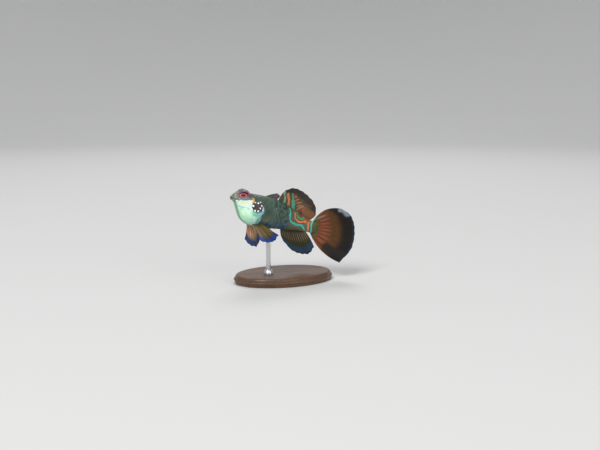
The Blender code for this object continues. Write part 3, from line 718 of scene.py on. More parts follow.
def face_outwards(obj):
    """Turns every face of a closed mesh outwards."""
    mesh = obj.data
    count = len(mesh.vertices)
    co = np.zeros(count * 3)
    mesh.vertices.foreach_get("co", co)
    co = co.reshape(-1, 3)
    mesh.calc_loop_triangles()
    corners = np.zeros(len(mesh.loop_triangles) * 3, np.int64)
    mesh.loop_triangles.foreach_get("vertices", corners)
    co = co - co.mean(axis=0)
    a, b, c = (co[corners.reshape(-1, 3)[:, k]] for k in range(3))
    if np.einsum("ij,ij->", a, np.cross(b, c)) < 0:
        mesh.flip_normals()


def fin_normal(spec):
    """The direction that a fin's left face looks to: across the fish, or out from a side fin."""
    if spec["edge"] != "side":
        return points(0.0, 1.0, 0.0)
    first, middle, last = spec["stations"][0], spec["stations"][1], spec["stations"][-1]
    spread = np.subtract(last[2], first[2])
    length = np.subtract(middle[2], middle[1])
    return unit(np.cross(length, spread))


def fin_surface(spec):
    """A fin's middle surface, as a function of u from its first ray to its last and v from root
    to tip."""
    stations = spec["stations"]
    root_curves = [curve_through([(s[0], s[1][i]) for s in stations]) for i in range(len(stations[0][1]))]
    tip_curves = [curve_through([(s[0], s[2][i]) for s in stations]) for i in range(3)]
    bulge_at = curve_through(column(stations, 3))
    normal = fin_normal(spec)
    gaps = spec["rays"] - 1

    def point_at(u, v):
        root = [curve(u) for curve in root_curves]
        if spec["edge"] == "back":
            root.append(back(root[0]) - ROOT_SINK)
        elif spec["edge"] == "belly":
            root.append(belly(root[0]) + ROOT_SINK)
        elif spec["edge"] == "end":
            root[0] = root[0] - ROOT_SINK
        root = points(*root)
        ray = points(*[curve(u) for curve in tip_curves]) - root
        between = 0.5 - 0.5 * np.cos(2 * math.pi * u * gaps)
        reach = v * (1 - spec["scallop"] * (between**2) * v**3)
        across = unit(np.cross(normal, ray)) * (4 * reach * (1 - reach) * bulge_at(u))[..., None]
        lift = spec["wave"] * np.sin(2.5 * math.pi * u + 0.6) * v
        lift = lift + spec["sag"] * (between - 0.5) * np.sin(2.3 * u * gaps + 1.0) * v**1.5
        lift = lift + 0.10 * v**3 * np.sin(5.1 * math.pi * u * (1 + 0.2 * u))
        return root + ray * reach[..., None] + across + normal * lift[..., None]

    return point_at


def make_fin(name, spec, material, ray_material):
    """A fin: a thin membrane, and rays that fork twice on their way to its margin."""
    point_at = fin_surface(spec)
    gaps = spec["rays"] - 1
    columns, rows = gaps * FIN_COLUMNS + 1, FIN_ROWS + 1
    v, u = np.meshgrid(np.linspace(0, 1, rows) ** 0.85, np.linspace(0, 1, columns), indexing="ij")
    middle = point_at(u, v)
    normal = unit(np.cross(np.gradient(middle, axis=1), np.gradient(middle, axis=0)))
    thick = MEMBRANE + (MEMBRANE_MARGIN - MEMBRANE) * v
    rim = np.minimum(np.minimum(u, 1 - u) * gaps * 4, (1 - v) * 14)
    thick = thick * (0.35 + 0.65 * smooth_step(rim, 0.0, 1.0))
    sheets = [middle + side * normal * (thick / 2)[..., None] for side in (1, -1)]
    flat = np.vstack([s.reshape(-1, 3) for s in sheets])
    faces = [tuple(f) for f in grid_faces(rows, columns)]
    offset = rows * columns
    faces += [tuple(i + offset for i in reversed(f)) for f in faces]
    border = list(range(columns))
    border += [i * columns + columns - 1 for i in range(1, rows)]
    border += [(rows - 1) * columns + j for j in range(columns - 2, -1, -1)]
    border += [i * columns for i in range(rows - 2, 0, -1)]
    for a, b in zip(border, border[1:] + border[:1]):
        faces.append((b, a, a + offset, b + offset))
    fin = mesh_piece(name + "_membrane", posed(flat), faces, material)
    face_outwards(fin)
    length = np.linalg.norm(point_at(np.linspace(0, 1, columns), np.ones(columns)) - middle[0], axis=-1)
    at = points(u * gaps, v, (1 - v) * length[None, :]).reshape(-1, 3)
    store(fin, "fin_place", np.vstack([at, at]))
    store_marks(fin, flat, FIN_MARKS.get(name, ()))
    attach(fin, "root")
    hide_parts(name)
    make_rays(name, spec, point_at, length, ray_material)


FORK_SPREAD = (0.27, 0.12)  # how far a branch leaves its stem, as a share of the gap between rays
BRANCH_GIRTH = (1.0, 0.78, 0.66)
RAY_TAPER = 0.78
RAY_POINTS = 12  # along each stretch of a ray


def ray_lines(spec):
    """Every ray and branch of a fin as places (u, v) with its girth."""
    gaps = spec["rays"] - 1
    lines = []
    for i in range(spec["rays"]):
        forks = FORKS if spec["forked"] and 0 < i < gaps else ()
        spans = [0.0, *forks, 1.0]
        offset = [0.0]
        for level, (start, end) in enumerate(zip(spans, spans[1:])):
            v = np.linspace(start, end, RAY_POINTS)
            settled = start + 0.75 * (1 - start)
            origin = offset
            if level:
                sides = [(o, side * FORK_SPREAD[level - 1]) for o in offset for side in (-1, 1)]
                origin = [o for o, _ in sides]
                offset = [o + spread for o, spread in sides]
            for o, before in zip(offset, origin):
                share = smooth_step(v, start, settled) if level else np.ones_like(v)
                shift = before + (o - before) * share
                u = np.clip((i + shift) / gaps, 0.0, 1.0)
                girth = spec["girth"] * (1 - RAY_TAPER * v) * BRANCH_GIRTH[level]
                lines.append((u, v, girth))
            if level:
                reached = float(smooth_step(end, start, settled))
                offset = [before + (o - before) * reached for o, before in zip(offset, origin)]
    return lines


def rib_tree():
    """Round ribs along the edges of a mesh, as thick as its girth attribute says."""
    tree = bpy.data.node_groups.new("ribs_along_paths", "GeometryNodeTree")
    tree.interface.new_socket("Paths", in_out="INPUT", socket_type="NodeSocketGeometry")
    sides = tree.interface.new_socket("Sides", in_out="INPUT", socket_type="NodeSocketInt")
    scale = tree.interface.new_socket("Girth Scale", in_out="INPUT", socket_type="NodeSocketFloat")
    finish = tree.interface.new_socket("Finish", in_out="INPUT", socket_type="NodeSocketMaterial")
    tree.interface.new_socket("Ribs", in_out="OUTPUT", socket_type="NodeSocketGeometry")
    sides.default_value = 6
    scale.default_value = 1.0
    add = tree.nodes.new
    given, made = add("NodeGroupInput"), add("NodeGroupOutput")
    to_curve, girth = add("GeometryNodeMeshToCurve"), add("GeometryNodeInputNamedAttribute")
    girth.data_type = "FLOAT"
    girth.inputs["Name"].default_value = "girth"
    scaled = add("ShaderNodeMath")
    scaled.operation = "MULTIPLY"
    circle, sweep = add("GeometryNodeCurvePrimitiveCircle"), add("GeometryNodeCurveToMesh")
    circle.inputs["Radius"].default_value = 1.0
    sweep.inputs["Fill Caps"].default_value = True
    shade, real = add("GeometryNodeSetShadeSmooth"), add("GeometryNodeRealizeInstances")
    paint = add("GeometryNodeSetMaterial")
    link = tree.links.new
    link(given.outputs["Paths"], to_curve.inputs["Mesh"])
    link(girth.outputs["Attribute"], scaled.inputs[0])
    link(given.outputs["Girth Scale"], scaled.inputs[1])
    link(scaled.outputs["Value"], sweep.inputs["Scale"])
    link(to_curve.outputs["Curve"], sweep.inputs["Curve"])
    link(given.outputs["Sides"], circle.inputs["Resolution"])
    link(circle.outputs["Curve"], sweep.inputs["Profile Curve"])
    link(sweep.outputs["Mesh"], shade.inputs["Geometry"])
    link(shade.outputs["Geometry"], real.inputs["Geometry"])
    link(real.outputs["Geometry"], paint.inputs["Geometry"])
    link(given.outputs["Finish"], paint.inputs["Material"])
    link(paint.outputs["Geometry"], made.inputs["Ribs"])
    return tree, {"Sides": sides.identifier, "Girth Scale": scale.identifier, "Finish": finish.identifier}


def make_rays(name, spec, point_at, length, material):
    """The rays of one fin, as ribs along their paths."""
    vertices, edges, girths, places = [], [], [], []
    for u, v, girth in ray_lines(spec):
        start = sum(len(p) for p in vertices)
        vertices.append(point_at(u, v))
        edges += [(start + i, start + i + 1) for i in range(len(u) - 1)]
        girths.append(girth * MM)
        at_margin = np.interp(u, np.linspace(0, 1, len(length)), length)
        places.append(points(u * (spec["rays"] - 1), v, (1 - v) * at_margin))
    straight = np.vstack(vertices)
    mesh = bpy.data.meshes.new(name + "_paths")
    mesh.from_pydata(posed(straight).tolist(), edges, [])
    paths = bpy.data.objects.new(name + "_paths", mesh)
    bpy.context.scene.collection.objects.link(paths)
    store(paths, "girth", np.concatenate(girths))
    store(paths, "fin_place", np.vstack(places))
    store_marks(paths, straight, FIN_MARKS.get(name, ()))
    modifier = paths.modifiers.new("ribs", "NODES")
    modifier.node_group = RIB_TREE
    modifier[RIB_SOCKETS["Sides"]] = 7
    modifier[RIB_SOCKETS["Girth Scale"]] = 1.0
    modifier[RIB_SOCKETS["Finish"]] = material
    bpy.context.view_layer.update()
    made = bpy.data.meshes.new_from_object(paths.evaluated_get(bpy.context.evaluated_depsgraph_get()))
    bpy.data.objects.remove(paths)
    rays = bpy.data.objects.new(name + "_rays", made)
    bpy.context.scene.collection.objects.link(rays)
    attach(rays, "root")


def turned(profile, around=64, scale=(1.0, 1.0)):
    """Rings of a turned shape from (radius, height) pairs, closed at both ends, with its faces."""
    angle = np.arange(around) * 2 * math.pi / around
    radius, height = (np.array(c, float)[:, None] for c in zip(*profile))
    rings = points(radius * np.cos(angle) * scale[0], radius * np.sin(angle) * scale[1], height + 0 * angle)
    vertices = np.vstack([rings.reshape(-1, 3), [(0, 0, profile[0][1]), (0, 0, profile[-1][1])]])
    return vertices, tube_faces(len(profile), around)


def make_eye(side, word, iris_material, cornea_material):
    """An eyeball with a hollow iris round a deep pupil, and the clear cornea over it."""
    out, along, over = eye_axes(side)
    rim, depth = EYE_RADIUS, EYE_DEPTH

    def placed(vertices):
        local = np.array(vertices)
        near_pupil = 1 - smooth_step(np.hypot(local[:, 0], local[:, 1]), 0.6, 1.7)
        local[:, 0] *= 1 + PUPIL_STRETCH * near_pupil
        local[:, 1] *= 1 - PUPIL_NARROWING * near_pupil
        straight = points(EYE_CENTRE[0], side * EYE_CENTRE[1], EYE_CENTRE[2])
        straight = straight + local[:, :1] * along + local[:, 1:2] * over + local[:, 2:] * out
        return posed(straight)

    iris = [(0.02, -depth * 0.98), (rim * 0.5, -depth * 0.86)]
    iris += [(rim * 0.86, -depth * 0.5), (rim * 0.99, 0.0)]
    iris += [(rim * math.cos(a), depth * math.sin(a)) for a in np.linspace(0.15, 0.52, 5)]
    outer, level = iris[-1]
    for t in np.linspace(0.08, 1.0, 9):
        sunk = 0.10 - 0.132 * math.sin(t * math.pi) + 0.16 * t
        iris.append((outer - (outer - PUPIL_EDGE) * t, level - sunk))
    pupil = ((0.40, 0.09), (0.25, 0.02), (0.02, 0.0))  # radius, and height above its bottom
    iris += [(radius, level - PUPIL_DEPTH + height) for radius, height in pupil]
    vertices, faces = turned(iris, 72)
    eye = mesh_piece(f"eye_{word}_ball", placed(vertices), faces, iris_material)
    face_outwards(eye)
    store(eye, "eye_place", vertices)
    turns = np.linspace(0.42, math.pi / 2 - 0.01, 16)
    dome = [(rim * 1.004 * math.cos(a), depth * 1.01 * math.sin(a)) for a in turns]
    inner = [(r * CORNEA_INSIDE, h * CORNEA_INSIDE - 0.01) for r, h in dome]
    cornea_profile = inner[::-1] + dome
    vertices, faces = turned(cornea_profile, 72)
    cornea = mesh_piece(f"eye_{word}_cornea", placed(vertices), faces, cornea_material)
    face_outwards(cornea)
    for piece in (eye, cornea):
        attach(piece, "root")
    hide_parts(f"eye_{word}")


def make_cheek_spines(material):
    """The small bony spine at the rear of each cheek, which points back."""
    vertices, faces = [], []
    for side in (1, -1):
        angle = np.linspace(0.0, math.pi, 400) * side
        x, z = CHEEK_SPINE_ROOT
        surface = body_surface(np.full(400, x), angle)
        root = surface[np.argmin(np.abs(surface[:, 2] - z))]
        tip = points(CHEEK_SPINE_TIP[0], root[1] + side * 0.55, CHEEK_SPINE_TIP[1])
        root = root - points(0.3, side * 0.35, 0.0)
        middle = (root + tip) / 2 + points(0.0, side * 0.18, -0.12)
        t = np.linspace(0, 1, 14)[:, None]
        path = (1 - t) ** 2 * root + 2 * t * (1 - t) * middle + t**2 * tip
        heading = unit(np.gradient(path, axis=0))
        aside = unit(np.cross(heading, points(0, 0, 1.0)))
        above = np.cross(aside, heading)
        radius = CHEEK_SPINE_RADIUS * (1 - t**1.5) + CHEEK_SPINE_TIP_RADIUS
        turn = np.arange(CHEEK_SPINE_SIDES)[None, :, None] * 2 * math.pi / CHEEK_SPINE_SIDES
        around = aside[:, None, :] * np.cos(turn) * 0.8 + above[:, None, :] * np.sin(turn)
        rings = path[:, None, :] + radius[..., None] * around
        start = len(vertices)
        vertices += posed(rings.reshape(-1, 3)).tolist()
        vertices += posed(path[[0, -1]]).tolist()
        for face in tube_faces(len(path), CHEEK_SPINE_SIDES):
            faces.append(tuple(i + start for i in face[:: -side]))
    spines = mesh_piece("cheek_spines", vertices, faces, material)
    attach(spines, "root")


def make_stand(wood, steel):
    """An oval wooden base with a moulded edge, a turned collar and the rod."""
    low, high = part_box("stand_base")
    half = (high - low) / 2 / MM
    middle = (high + low) / 2 / MM
    thick = 2 * half.z
    edge = [(0.02, 0.0), (0.94, 0.0), (0.975, 0.15), (0.985, 0.5), (0.985, 1.3)]
    edge += [(0.985 + 0.015 * math.sin(a), 1.9 - 0.45 * math.cos(a)) for a in np.linspace(0.3, 2.6, 7)]
    edge += [(0.972, 2.55)]
    for a in np.linspace(0.1, math.pi / 2, 9):
        edge.append((0.972 - 0.05 * (1 - math.cos(a)), 2.7 + (thick - 2.7) * math.sin(a)))
    edge += [(0.6, thick), (0.02, thick)]
    vertices, faces = turned(edge, 160, (half.x, half.y))
    vertices = (vertices + (middle.x, middle.y, low.z / MM)) * MM
    base = mesh_piece("stand_base_wood", vertices, faces, wood)
    rod_low, rod_high = (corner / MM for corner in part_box("stand_rod"))
    rod_middle, rod_radius = (rod_low + rod_high) / 2, (rod_high.x - rod_low.x) / 2
    collar_low, collar_high = (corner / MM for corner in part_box("stand_collar"))
    outer = (collar_high.x - collar_low.x) / 2
    bottom = thick - 0.02
    top = collar_high.z
    profile = [
        (0.02, bottom), (outer * 0.97, bottom), (outer, bottom + 0.15), (outer, bottom + 0.55),
        (outer * 0.93, bottom + 0.7), (outer * 0.93, bottom + 0.85), (outer * 0.97, bottom + 0.95),
        (outer * 0.86, top - 0.5), (outer * 0.8, top - 0.15), (outer * 0.74, top),
        (rod_radius + 0.08, top), (rod_radius + 0.02, top - 0.12), (0.02, top - 0.12),
    ]
    vertices, faces = turned(profile, 72)
    to_rod = (rod_middle.x, rod_middle.y, 0)
    collar = mesh_piece("stand_collar_turned", (vertices + to_rod) * MM, faces, steel)
    end = rod_high.z
    shaft = [(0.02, bottom), (rod_radius, bottom), (rod_radius, bottom + 1), (rod_radius, end - 1)]
    shaft += [(rod_radius, end - 0.1), (0.02, end - 0.1)]
    vertices, faces = turned(shaft, 48)
    rod = mesh_piece("stand_rod_steel", (vertices + to_rod) * MM, faces, steel)
    stand = ((base, "stand_base", "base"), (collar, "stand_collar", "rod"), (rod, "stand_rod", "rod"))
    for piece, node, slot in stand:
        face_outwards(piece)
        piece.data.set_sharp_from_angle(angle=math.radians(35))
        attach(piece, "root")
        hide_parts(node)


class Nodes:
    """Short ways to add nodes to one tree."""

    def __init__(self, tree):
        self.tree = tree

    def give(self, socket, value):
        """Links an output to a socket, or sets it to a value."""
        if isinstance(value, bpy.types.NodeSocket):
            self.tree.links.new(value, socket)
        elif isinstance(value, tuple) and len(value) == 3 and len(socket.default_value) == 4:
            socket.default_value = (*value, 1.0)
        else:
            socket.default_value = value

    def new(self, kind, **values):
        """A node with its inputs, given by name, set or linked."""
        node = self.tree.nodes.new(kind)
        for name, value in values.items():
            self.give(node.inputs[name.replace("_", " ")], value)
        return node

    def math(self, operation, a, b=0.0):
        """The result of one sum or function of two values."""
        node = self.tree.nodes.new("ShaderNodeMath")
        node.operation = operation
        self.give(node.inputs[0], a)
        self.give(node.inputs[1], b)
        return node.outputs["Value"]

    def plus(self, a, b):
        return self.math("ADD", a, b)

    def minus(self, a, b):
        return self.math("SUBTRACT", a, b)

    def times(self, a, b):
        return self.math("MULTIPLY", a, b)

    def ramp(self, value, start, end, low=0.0, high=1.0):
        """A smooth change from low to high as value goes from start to end."""
        node = self.new(
            "ShaderNodeMapRange", Value=value, From_Min=start, From_Max=end, To_Min=low, To_Max=high
        )
        node.interpolation_type = "SMOOTHSTEP"
        return node.outputs["Result"]

    def mix(self, factor, a, b, blend="MIX"):
        """A colour between a, at factor 0, and b, at factor 1."""
        node = self.tree.nodes.new("ShaderNodeMix")
        node.data_type = "RGBA"
        node.blend_type = blend
        self.give(node.inputs["Factor"], factor)
        self.give(node.inputs[6], a)
        self.give(node.inputs[7], b)
        return node.outputs[2]

    def noise(self, scale, detail=2.0, roughness=0.5, vector=None, distortion=0.0):
        """Noise with features about 1/scale of a millimetre apart."""
        node = self.new(
            "ShaderNodeTexNoise", Vector=vector or self.place(), Scale=scale / MM, Detail=detail,
            Roughness=roughness, Distortion=distortion,
        )
        return node.outputs["Fac"]

    def uneven(self, scale, detail, amount):
        """Noise about zero, amount from its least to its most."""
        return self.times(self.minus(self.noise(scale, detail), 0.5), amount)

    def place(self):
        """The place on the piece, in metres."""
        return self.tree.nodes.new("ShaderNodeTexCoord").outputs["Object"]

    def attribute(self, name, output="Fac"):
        """What store() kept under a name."""
        node = self.tree.nodes.new("ShaderNodeAttribute")
        node.attribute_name = name
        return node.outputs[output]

    def axes(self, vector):
        """The X, Y and Z outputs of a vector."""
        node = self.tree.nodes.new("ShaderNodeSeparateXYZ")
        self.tree.links.new(vector, node.inputs[0])
        return node.outputs


def shader_group(name, inputs, outputs, build):
    """A shader node group made once, with named inputs and outputs."""
    tree = bpy.data.node_groups.new(name, "ShaderNodeTree")
    for label, kind, value in inputs:
        socket = tree.interface.new_socket(label, in_out="INPUT", socket_type=kind)
        socket.default_value = (*value, 1.0) if isinstance(value, tuple) else value
    for label, kind in outputs:
        tree.interface.new_socket(label, in_out="OUTPUT", socket_type=kind)
    given, made = tree.nodes.new("NodeGroupInput"), tree.nodes.new("NodeGroupOutput")
    for label, result in build(Nodes(tree), given.outputs).items():
        tree.links.new(result, made.inputs[label])
    return tree


COLOUR, NUMBER = "NodeSocketColor", "NodeSocketFloat"


def build_painted_mark(n, given):
    """A mark in another colour, with a soft and slightly uneven edge and a cloudy middle."""
    uneven = n.uneven(1.6, 2.0, given["Wobble"])
    half = n.times(given["Feather"], 0.5)
    mask = n.ramp(n.plus(given["Distance"], uneven), n.times(half, -1.0), half, 1.0, 0.0)
    mask = n.times(mask, given["Strength"])
    cloudy = n.mix(n.ramp(n.noise(3.0, 3.0), 0.3, 0.7), (0.92, 0.92, 0.92), (1.05, 1.05, 1.05))
    paint = n.mix(1.0, given["Paint"], cloudy, "MULTIPLY")
    return {"Colour": n.mix(mask, given["Ground"], paint)}


def build_skin_grain(n, given):
    """The bare, slimy skin: fine pits, soft wrinkles and a patchy gloss."""
    fine = n.noise(7.0, 3.0, 0.6)
    folds = n.noise(1.1, 3.0, 0.55, distortion=0.4)
    height = n.plus(n.times(fine, 0.35), folds)
    height = n.times(height, given["Depth"])
    patchy = n.ramp(n.noise(0.8, 4.0, 0.6), 0.3, 0.75, given["Low Roughness"], given["High Roughness"])
    return {"Height": height, "Roughness": patchy}


def build_fin_paint(n, given):
    """A fin's colours from its rays, the membrane between them and its margin."""
    place = n.axes(n.attribute("fin_place", "Vector"))
    reach, from_margin = place["Y"], place["Z"]
    ray = n.times(place["X"], given["Streaks To A Ray"])
    nearest = n.math("ROUND", ray)
    to_ray = n.math("ABSOLUTE", n.minus(ray, nearest))
    turn = n.math("ABSOLUTE", n.math("SINE", n.times(nearest, 1.7)))
    uneven = n.uneven(0.9, 3.0, 0.5)

    def within(distance, shift, width, core):
        """1 inside a named width and 0 past it, with an uneven edge that starts at its core."""
        return n.ramp(n.plus(distance, n.times(uneven, shift)), given[width], n.times(given[width], core))

    along = n.plus(reach, n.times(uneven, 0.35))
    begun = n.ramp(along, given["Streak Start"], n.plus(given["Streak Start"], 0.08))
    unfinished = n.ramp(along, n.plus(given["Streak End"], 0.22), given["Streak End"])
    cloud = n.ramp(n.noise(0.7, 4.0, 0.6), 0.25, 0.75)
    colour = n.mix(cloud, given["Membrane"], given["Membrane Shade"])
    streak = n.mix(n.ramp(turn, 0.3, 0.8), given["Streak"], given["Other Streak"])
    near_ray = within(to_ray, 0.3, "Streak Width", 0.35)
    colour = n.mix(n.times(near_ray, n.times(begun, unfinished)), colour, streak)
    colour = n.mix(within(from_margin, 2.0, "Margin Width", 0.55), colour, given["Margin"])
    return {"Colour": n.mix(within(from_margin, 0.5, "Rim Width", 0.3), colour, given["Rim"])}


def principled(name, **values):
    """A material with its Principled BSDF, and the short ways to add nodes to it."""
    material = bpy.data.materials.new(name)
    material.use_nodes = True
    shader = material.node_tree.nodes["Principled BSDF"]
    for label, value in values.items():
        socket = shader.inputs[label.replace("_", " ")]
        socket.default_value = (*value, 1.0) if isinstance(value, tuple) else value
    return material, shader, Nodes(material.node_tree)


def group_node(n, tree, **values):
    """One use of a group, with its inputs set or linked."""
    node = n.tree.nodes.new("ShaderNodeGroup")
    node.node_tree = tree
    for label, value in values.items():
        n.give(node.inputs[label.replace("_", " ")], value)
    return node


def with_grain(n, shader, depth, low, high, strength):
    """Gives a shader the skin's fine relief and its patchy gloss, from a low to a high roughness."""
    grain = group_node(n, SKIN_GRAIN, Depth=depth, Low_Roughness=low, High_Roughness=high)
    n.give(shader.inputs["Roughness"], grain.outputs["Roughness"])
    bump(n, shader, grain.outputs["Height"], strength)


def painted(n, ground, mark, paint, feather, wobble, amount):
    """The ground's colour with a painted mark over it."""
    node = group_node(
        n, PAINTED_MARK, Ground=ground, Paint=paint, Distance=n.attribute(mark),
        Feather=feather, Wobble=wobble, Strength=amount,
    )
    return node.outputs["Colour"]


def bump(n, shader, height, strength=1.0, distance=0.001):
    """Feeds a height to the shader's normal."""
    node = n.new("ShaderNodeBump", Strength=strength, Distance=distance, Height=height)
    n.give(shader.inputs["Normal"], node.outputs["Normal"])


PAINTED_MARK = shader_group(
    "painted_mark",
    (
        ("Ground", COLOUR, (0.1, 0.1, 0.1)),
        ("Paint", COLOUR, (0.5, 0.5, 0.5)),
        ("Distance", NUMBER, 0.0),
        ("Feather", NUMBER, 0.2),
        ("Wobble", NUMBER, 0.3),
        ("Strength", NUMBER, 1.0),
    ),
    (("Colour", COLOUR),),
    build_painted_mark,
)
SKIN_GRAIN = shader_group(
    "skin_grain",
    (("Depth", NUMBER, 0.05), ("Low Roughness", NUMBER, 0.28), ("High Roughness", NUMBER, 0.5)),
    (("Height", NUMBER), ("Roughness", NUMBER)),
    build_skin_grain,
)
FIN_PAINT = shader_group(
    "fin_paint",
    (
        ("Membrane", COLOUR, (0.1, 0.1, 0.1)),
        ("Membrane Shade", COLOUR, (0.1, 0.1, 0.1)),
        ("Streak", COLOUR, (0.1, 0.1, 0.1)),
        ("Other Streak", COLOUR, (0.1, 0.1, 0.1)),
        ("Streaks To A Ray", NUMBER, 1.0),
        ("Margin", COLOUR, (0.1, 0.1, 0.1)),
        ("Rim", COLOUR, (0.1, 0.1, 0.1)),
        ("Streak Width", NUMBER, 0.3),
        ("Streak Start", NUMBER, 0.1),
        ("Streak End", NUMBER, 0.6),
        ("Margin Width", NUMBER, 2.0),
        ("Rim Width", NUMBER, 0.4),
    ),
    (("Colour", COLOUR),),
    build_fin_paint,
)

# Colours, as linear red, green and blue.
TEAL = (0.048, 0.092, 0.074)
DEEP_TEAL = (0.030, 0.062, 0.062)
OLIVE = (0.085, 0.100, 0.055)
SEA_BLUE = (0.013, 0.060, 0.135)
REAR_SHADE = (0.014, 0.022, 0.022)
FAINT_BAND = (0.085, 0.125, 0.075)
FAINT_OUTLINE = (0.028, 0.050, 0.052)
BAND_ORANGE = (0.190, 0.082, 0.030)
BAND_BROWN = (0.118, 0.068, 0.024)
BAND_OUTLINE = (0.016, 0.026, 0.034)
BAND_GREEN = (0.040, 0.170, 0.105)
TAIL_OLIVE = (0.100, 0.078, 0.024)
TAIL_MOSS = (0.052, 0.070, 0.030)
ROOT_BROWN = (0.095, 0.036, 0.018)
TURQUOISE = (0.045, 0.450, 0.370)
BRIGHT_ORANGE = (0.640, 0.180, 0.065)
BRIGHT_GREEN = (0.060, 0.300, 0.120)
VIOLET = (0.125, 0.065, 0.150)
DULL_GREEN = (0.040, 0.150, 0.085)
EYE_BAND = (0.190, 0.170, 0.250)
DEEP_BLUE = (0.032, 0.115, 0.260)
PALE_BLUE = (0.270, 0.520, 0.620)
RED = (0.420, 0.050, 0.030)
YELLOW = (0.740, 0.780, 0.320)
GOLD = (0.620, 0.330, 0.060)
WHITE = (0.850, 0.900, 0.850)
MINT = (0.420, 0.800, 0.500)
PALE_MINT = (0.620, 0.900, 0.660)
MINT_EDGE_SHADE = (0.150, 0.400, 0.250)
HEAD_GREY = (0.290, 0.335, 0.240)
HEAD_MOTTLE = (0.085, 0.095, 0.075)
BROW_BEAD = (0.300, 0.270, 0.250)
SHADED_THROAT = (0.150, 0.360, 0.230)
THROAT_SHADE = (0.100, 0.270, 0.190)
HEAD_BROWN = (0.080, 0.056, 0.060)
PATCH_DARK = (0.040, 0.036, 0.046)
MAROON = (0.100, 0.020, 0.030)
ORBIT_PINK = (0.380, 0.100, 0.190)
ORBIT_VIOLET = (0.130, 0.080, 0.190)
PALE_STREAK = (0.150, 0.245, 0.155)
AMBER = (0.230, 0.105, 0.036)
CHEEK_WHITE = (0.690, 0.800, 0.710)
MINT_BLUE = (0.340, 0.600, 0.600)
BAR_SHADE = (0.038, 0.038, 0.046)
BELLY_OLIVE = (0.155, 0.145, 0.080)
BELLY_SHADE = (0.088, 0.090, 0.056)
PATCH_OLIVE = (0.190, 0.210, 0.130)
SOCKET_PAINTED_SHADE = (0.020, 0.010, 0.012)
MOUTH_PAINTED_SHADE = (0.020, 0.022, 0.020)
IRIS_PALE = (1.000, 0.420, 0.260)
IRIS_RED = (0.850, 0.240, 0.180)
IRIS_INNER = (0.800, 0.160, 0.050)
IRIS_OUTER = (0.550, 0.100, 0.160)
IRIS_RIM = (0.100, 0.040, 0.080)
PUPIL_RED = (0.420, 0.022, 0.014)
CORNEA_TINT = (0.030, 0.012, 0.010)
CORNEA_SHADE = (0.050, 0.022, 0.018)
BONE_GREEN = (0.340, 0.620, 0.420)
BONE_PALE = (0.500, 0.740, 0.520)
WOOD_BROWN = (0.098, 0.046, 0.022)
WOOD_DARK = (0.066, 0.029, 0.014)
WOOD_PATCH = (0.140, 0.068, 0.030)
WOOD_PORE = (0.020, 0.009, 0.005)
STEEL_SHADE = (0.560, 0.560, 0.570)
STEEL_LIGHT = (0.660, 0.660, 0.670)
FLOOR_GREY = (0.660, 0.655, 0.640)
SKY_WHITE = (0.920, 0.950, 1.000)


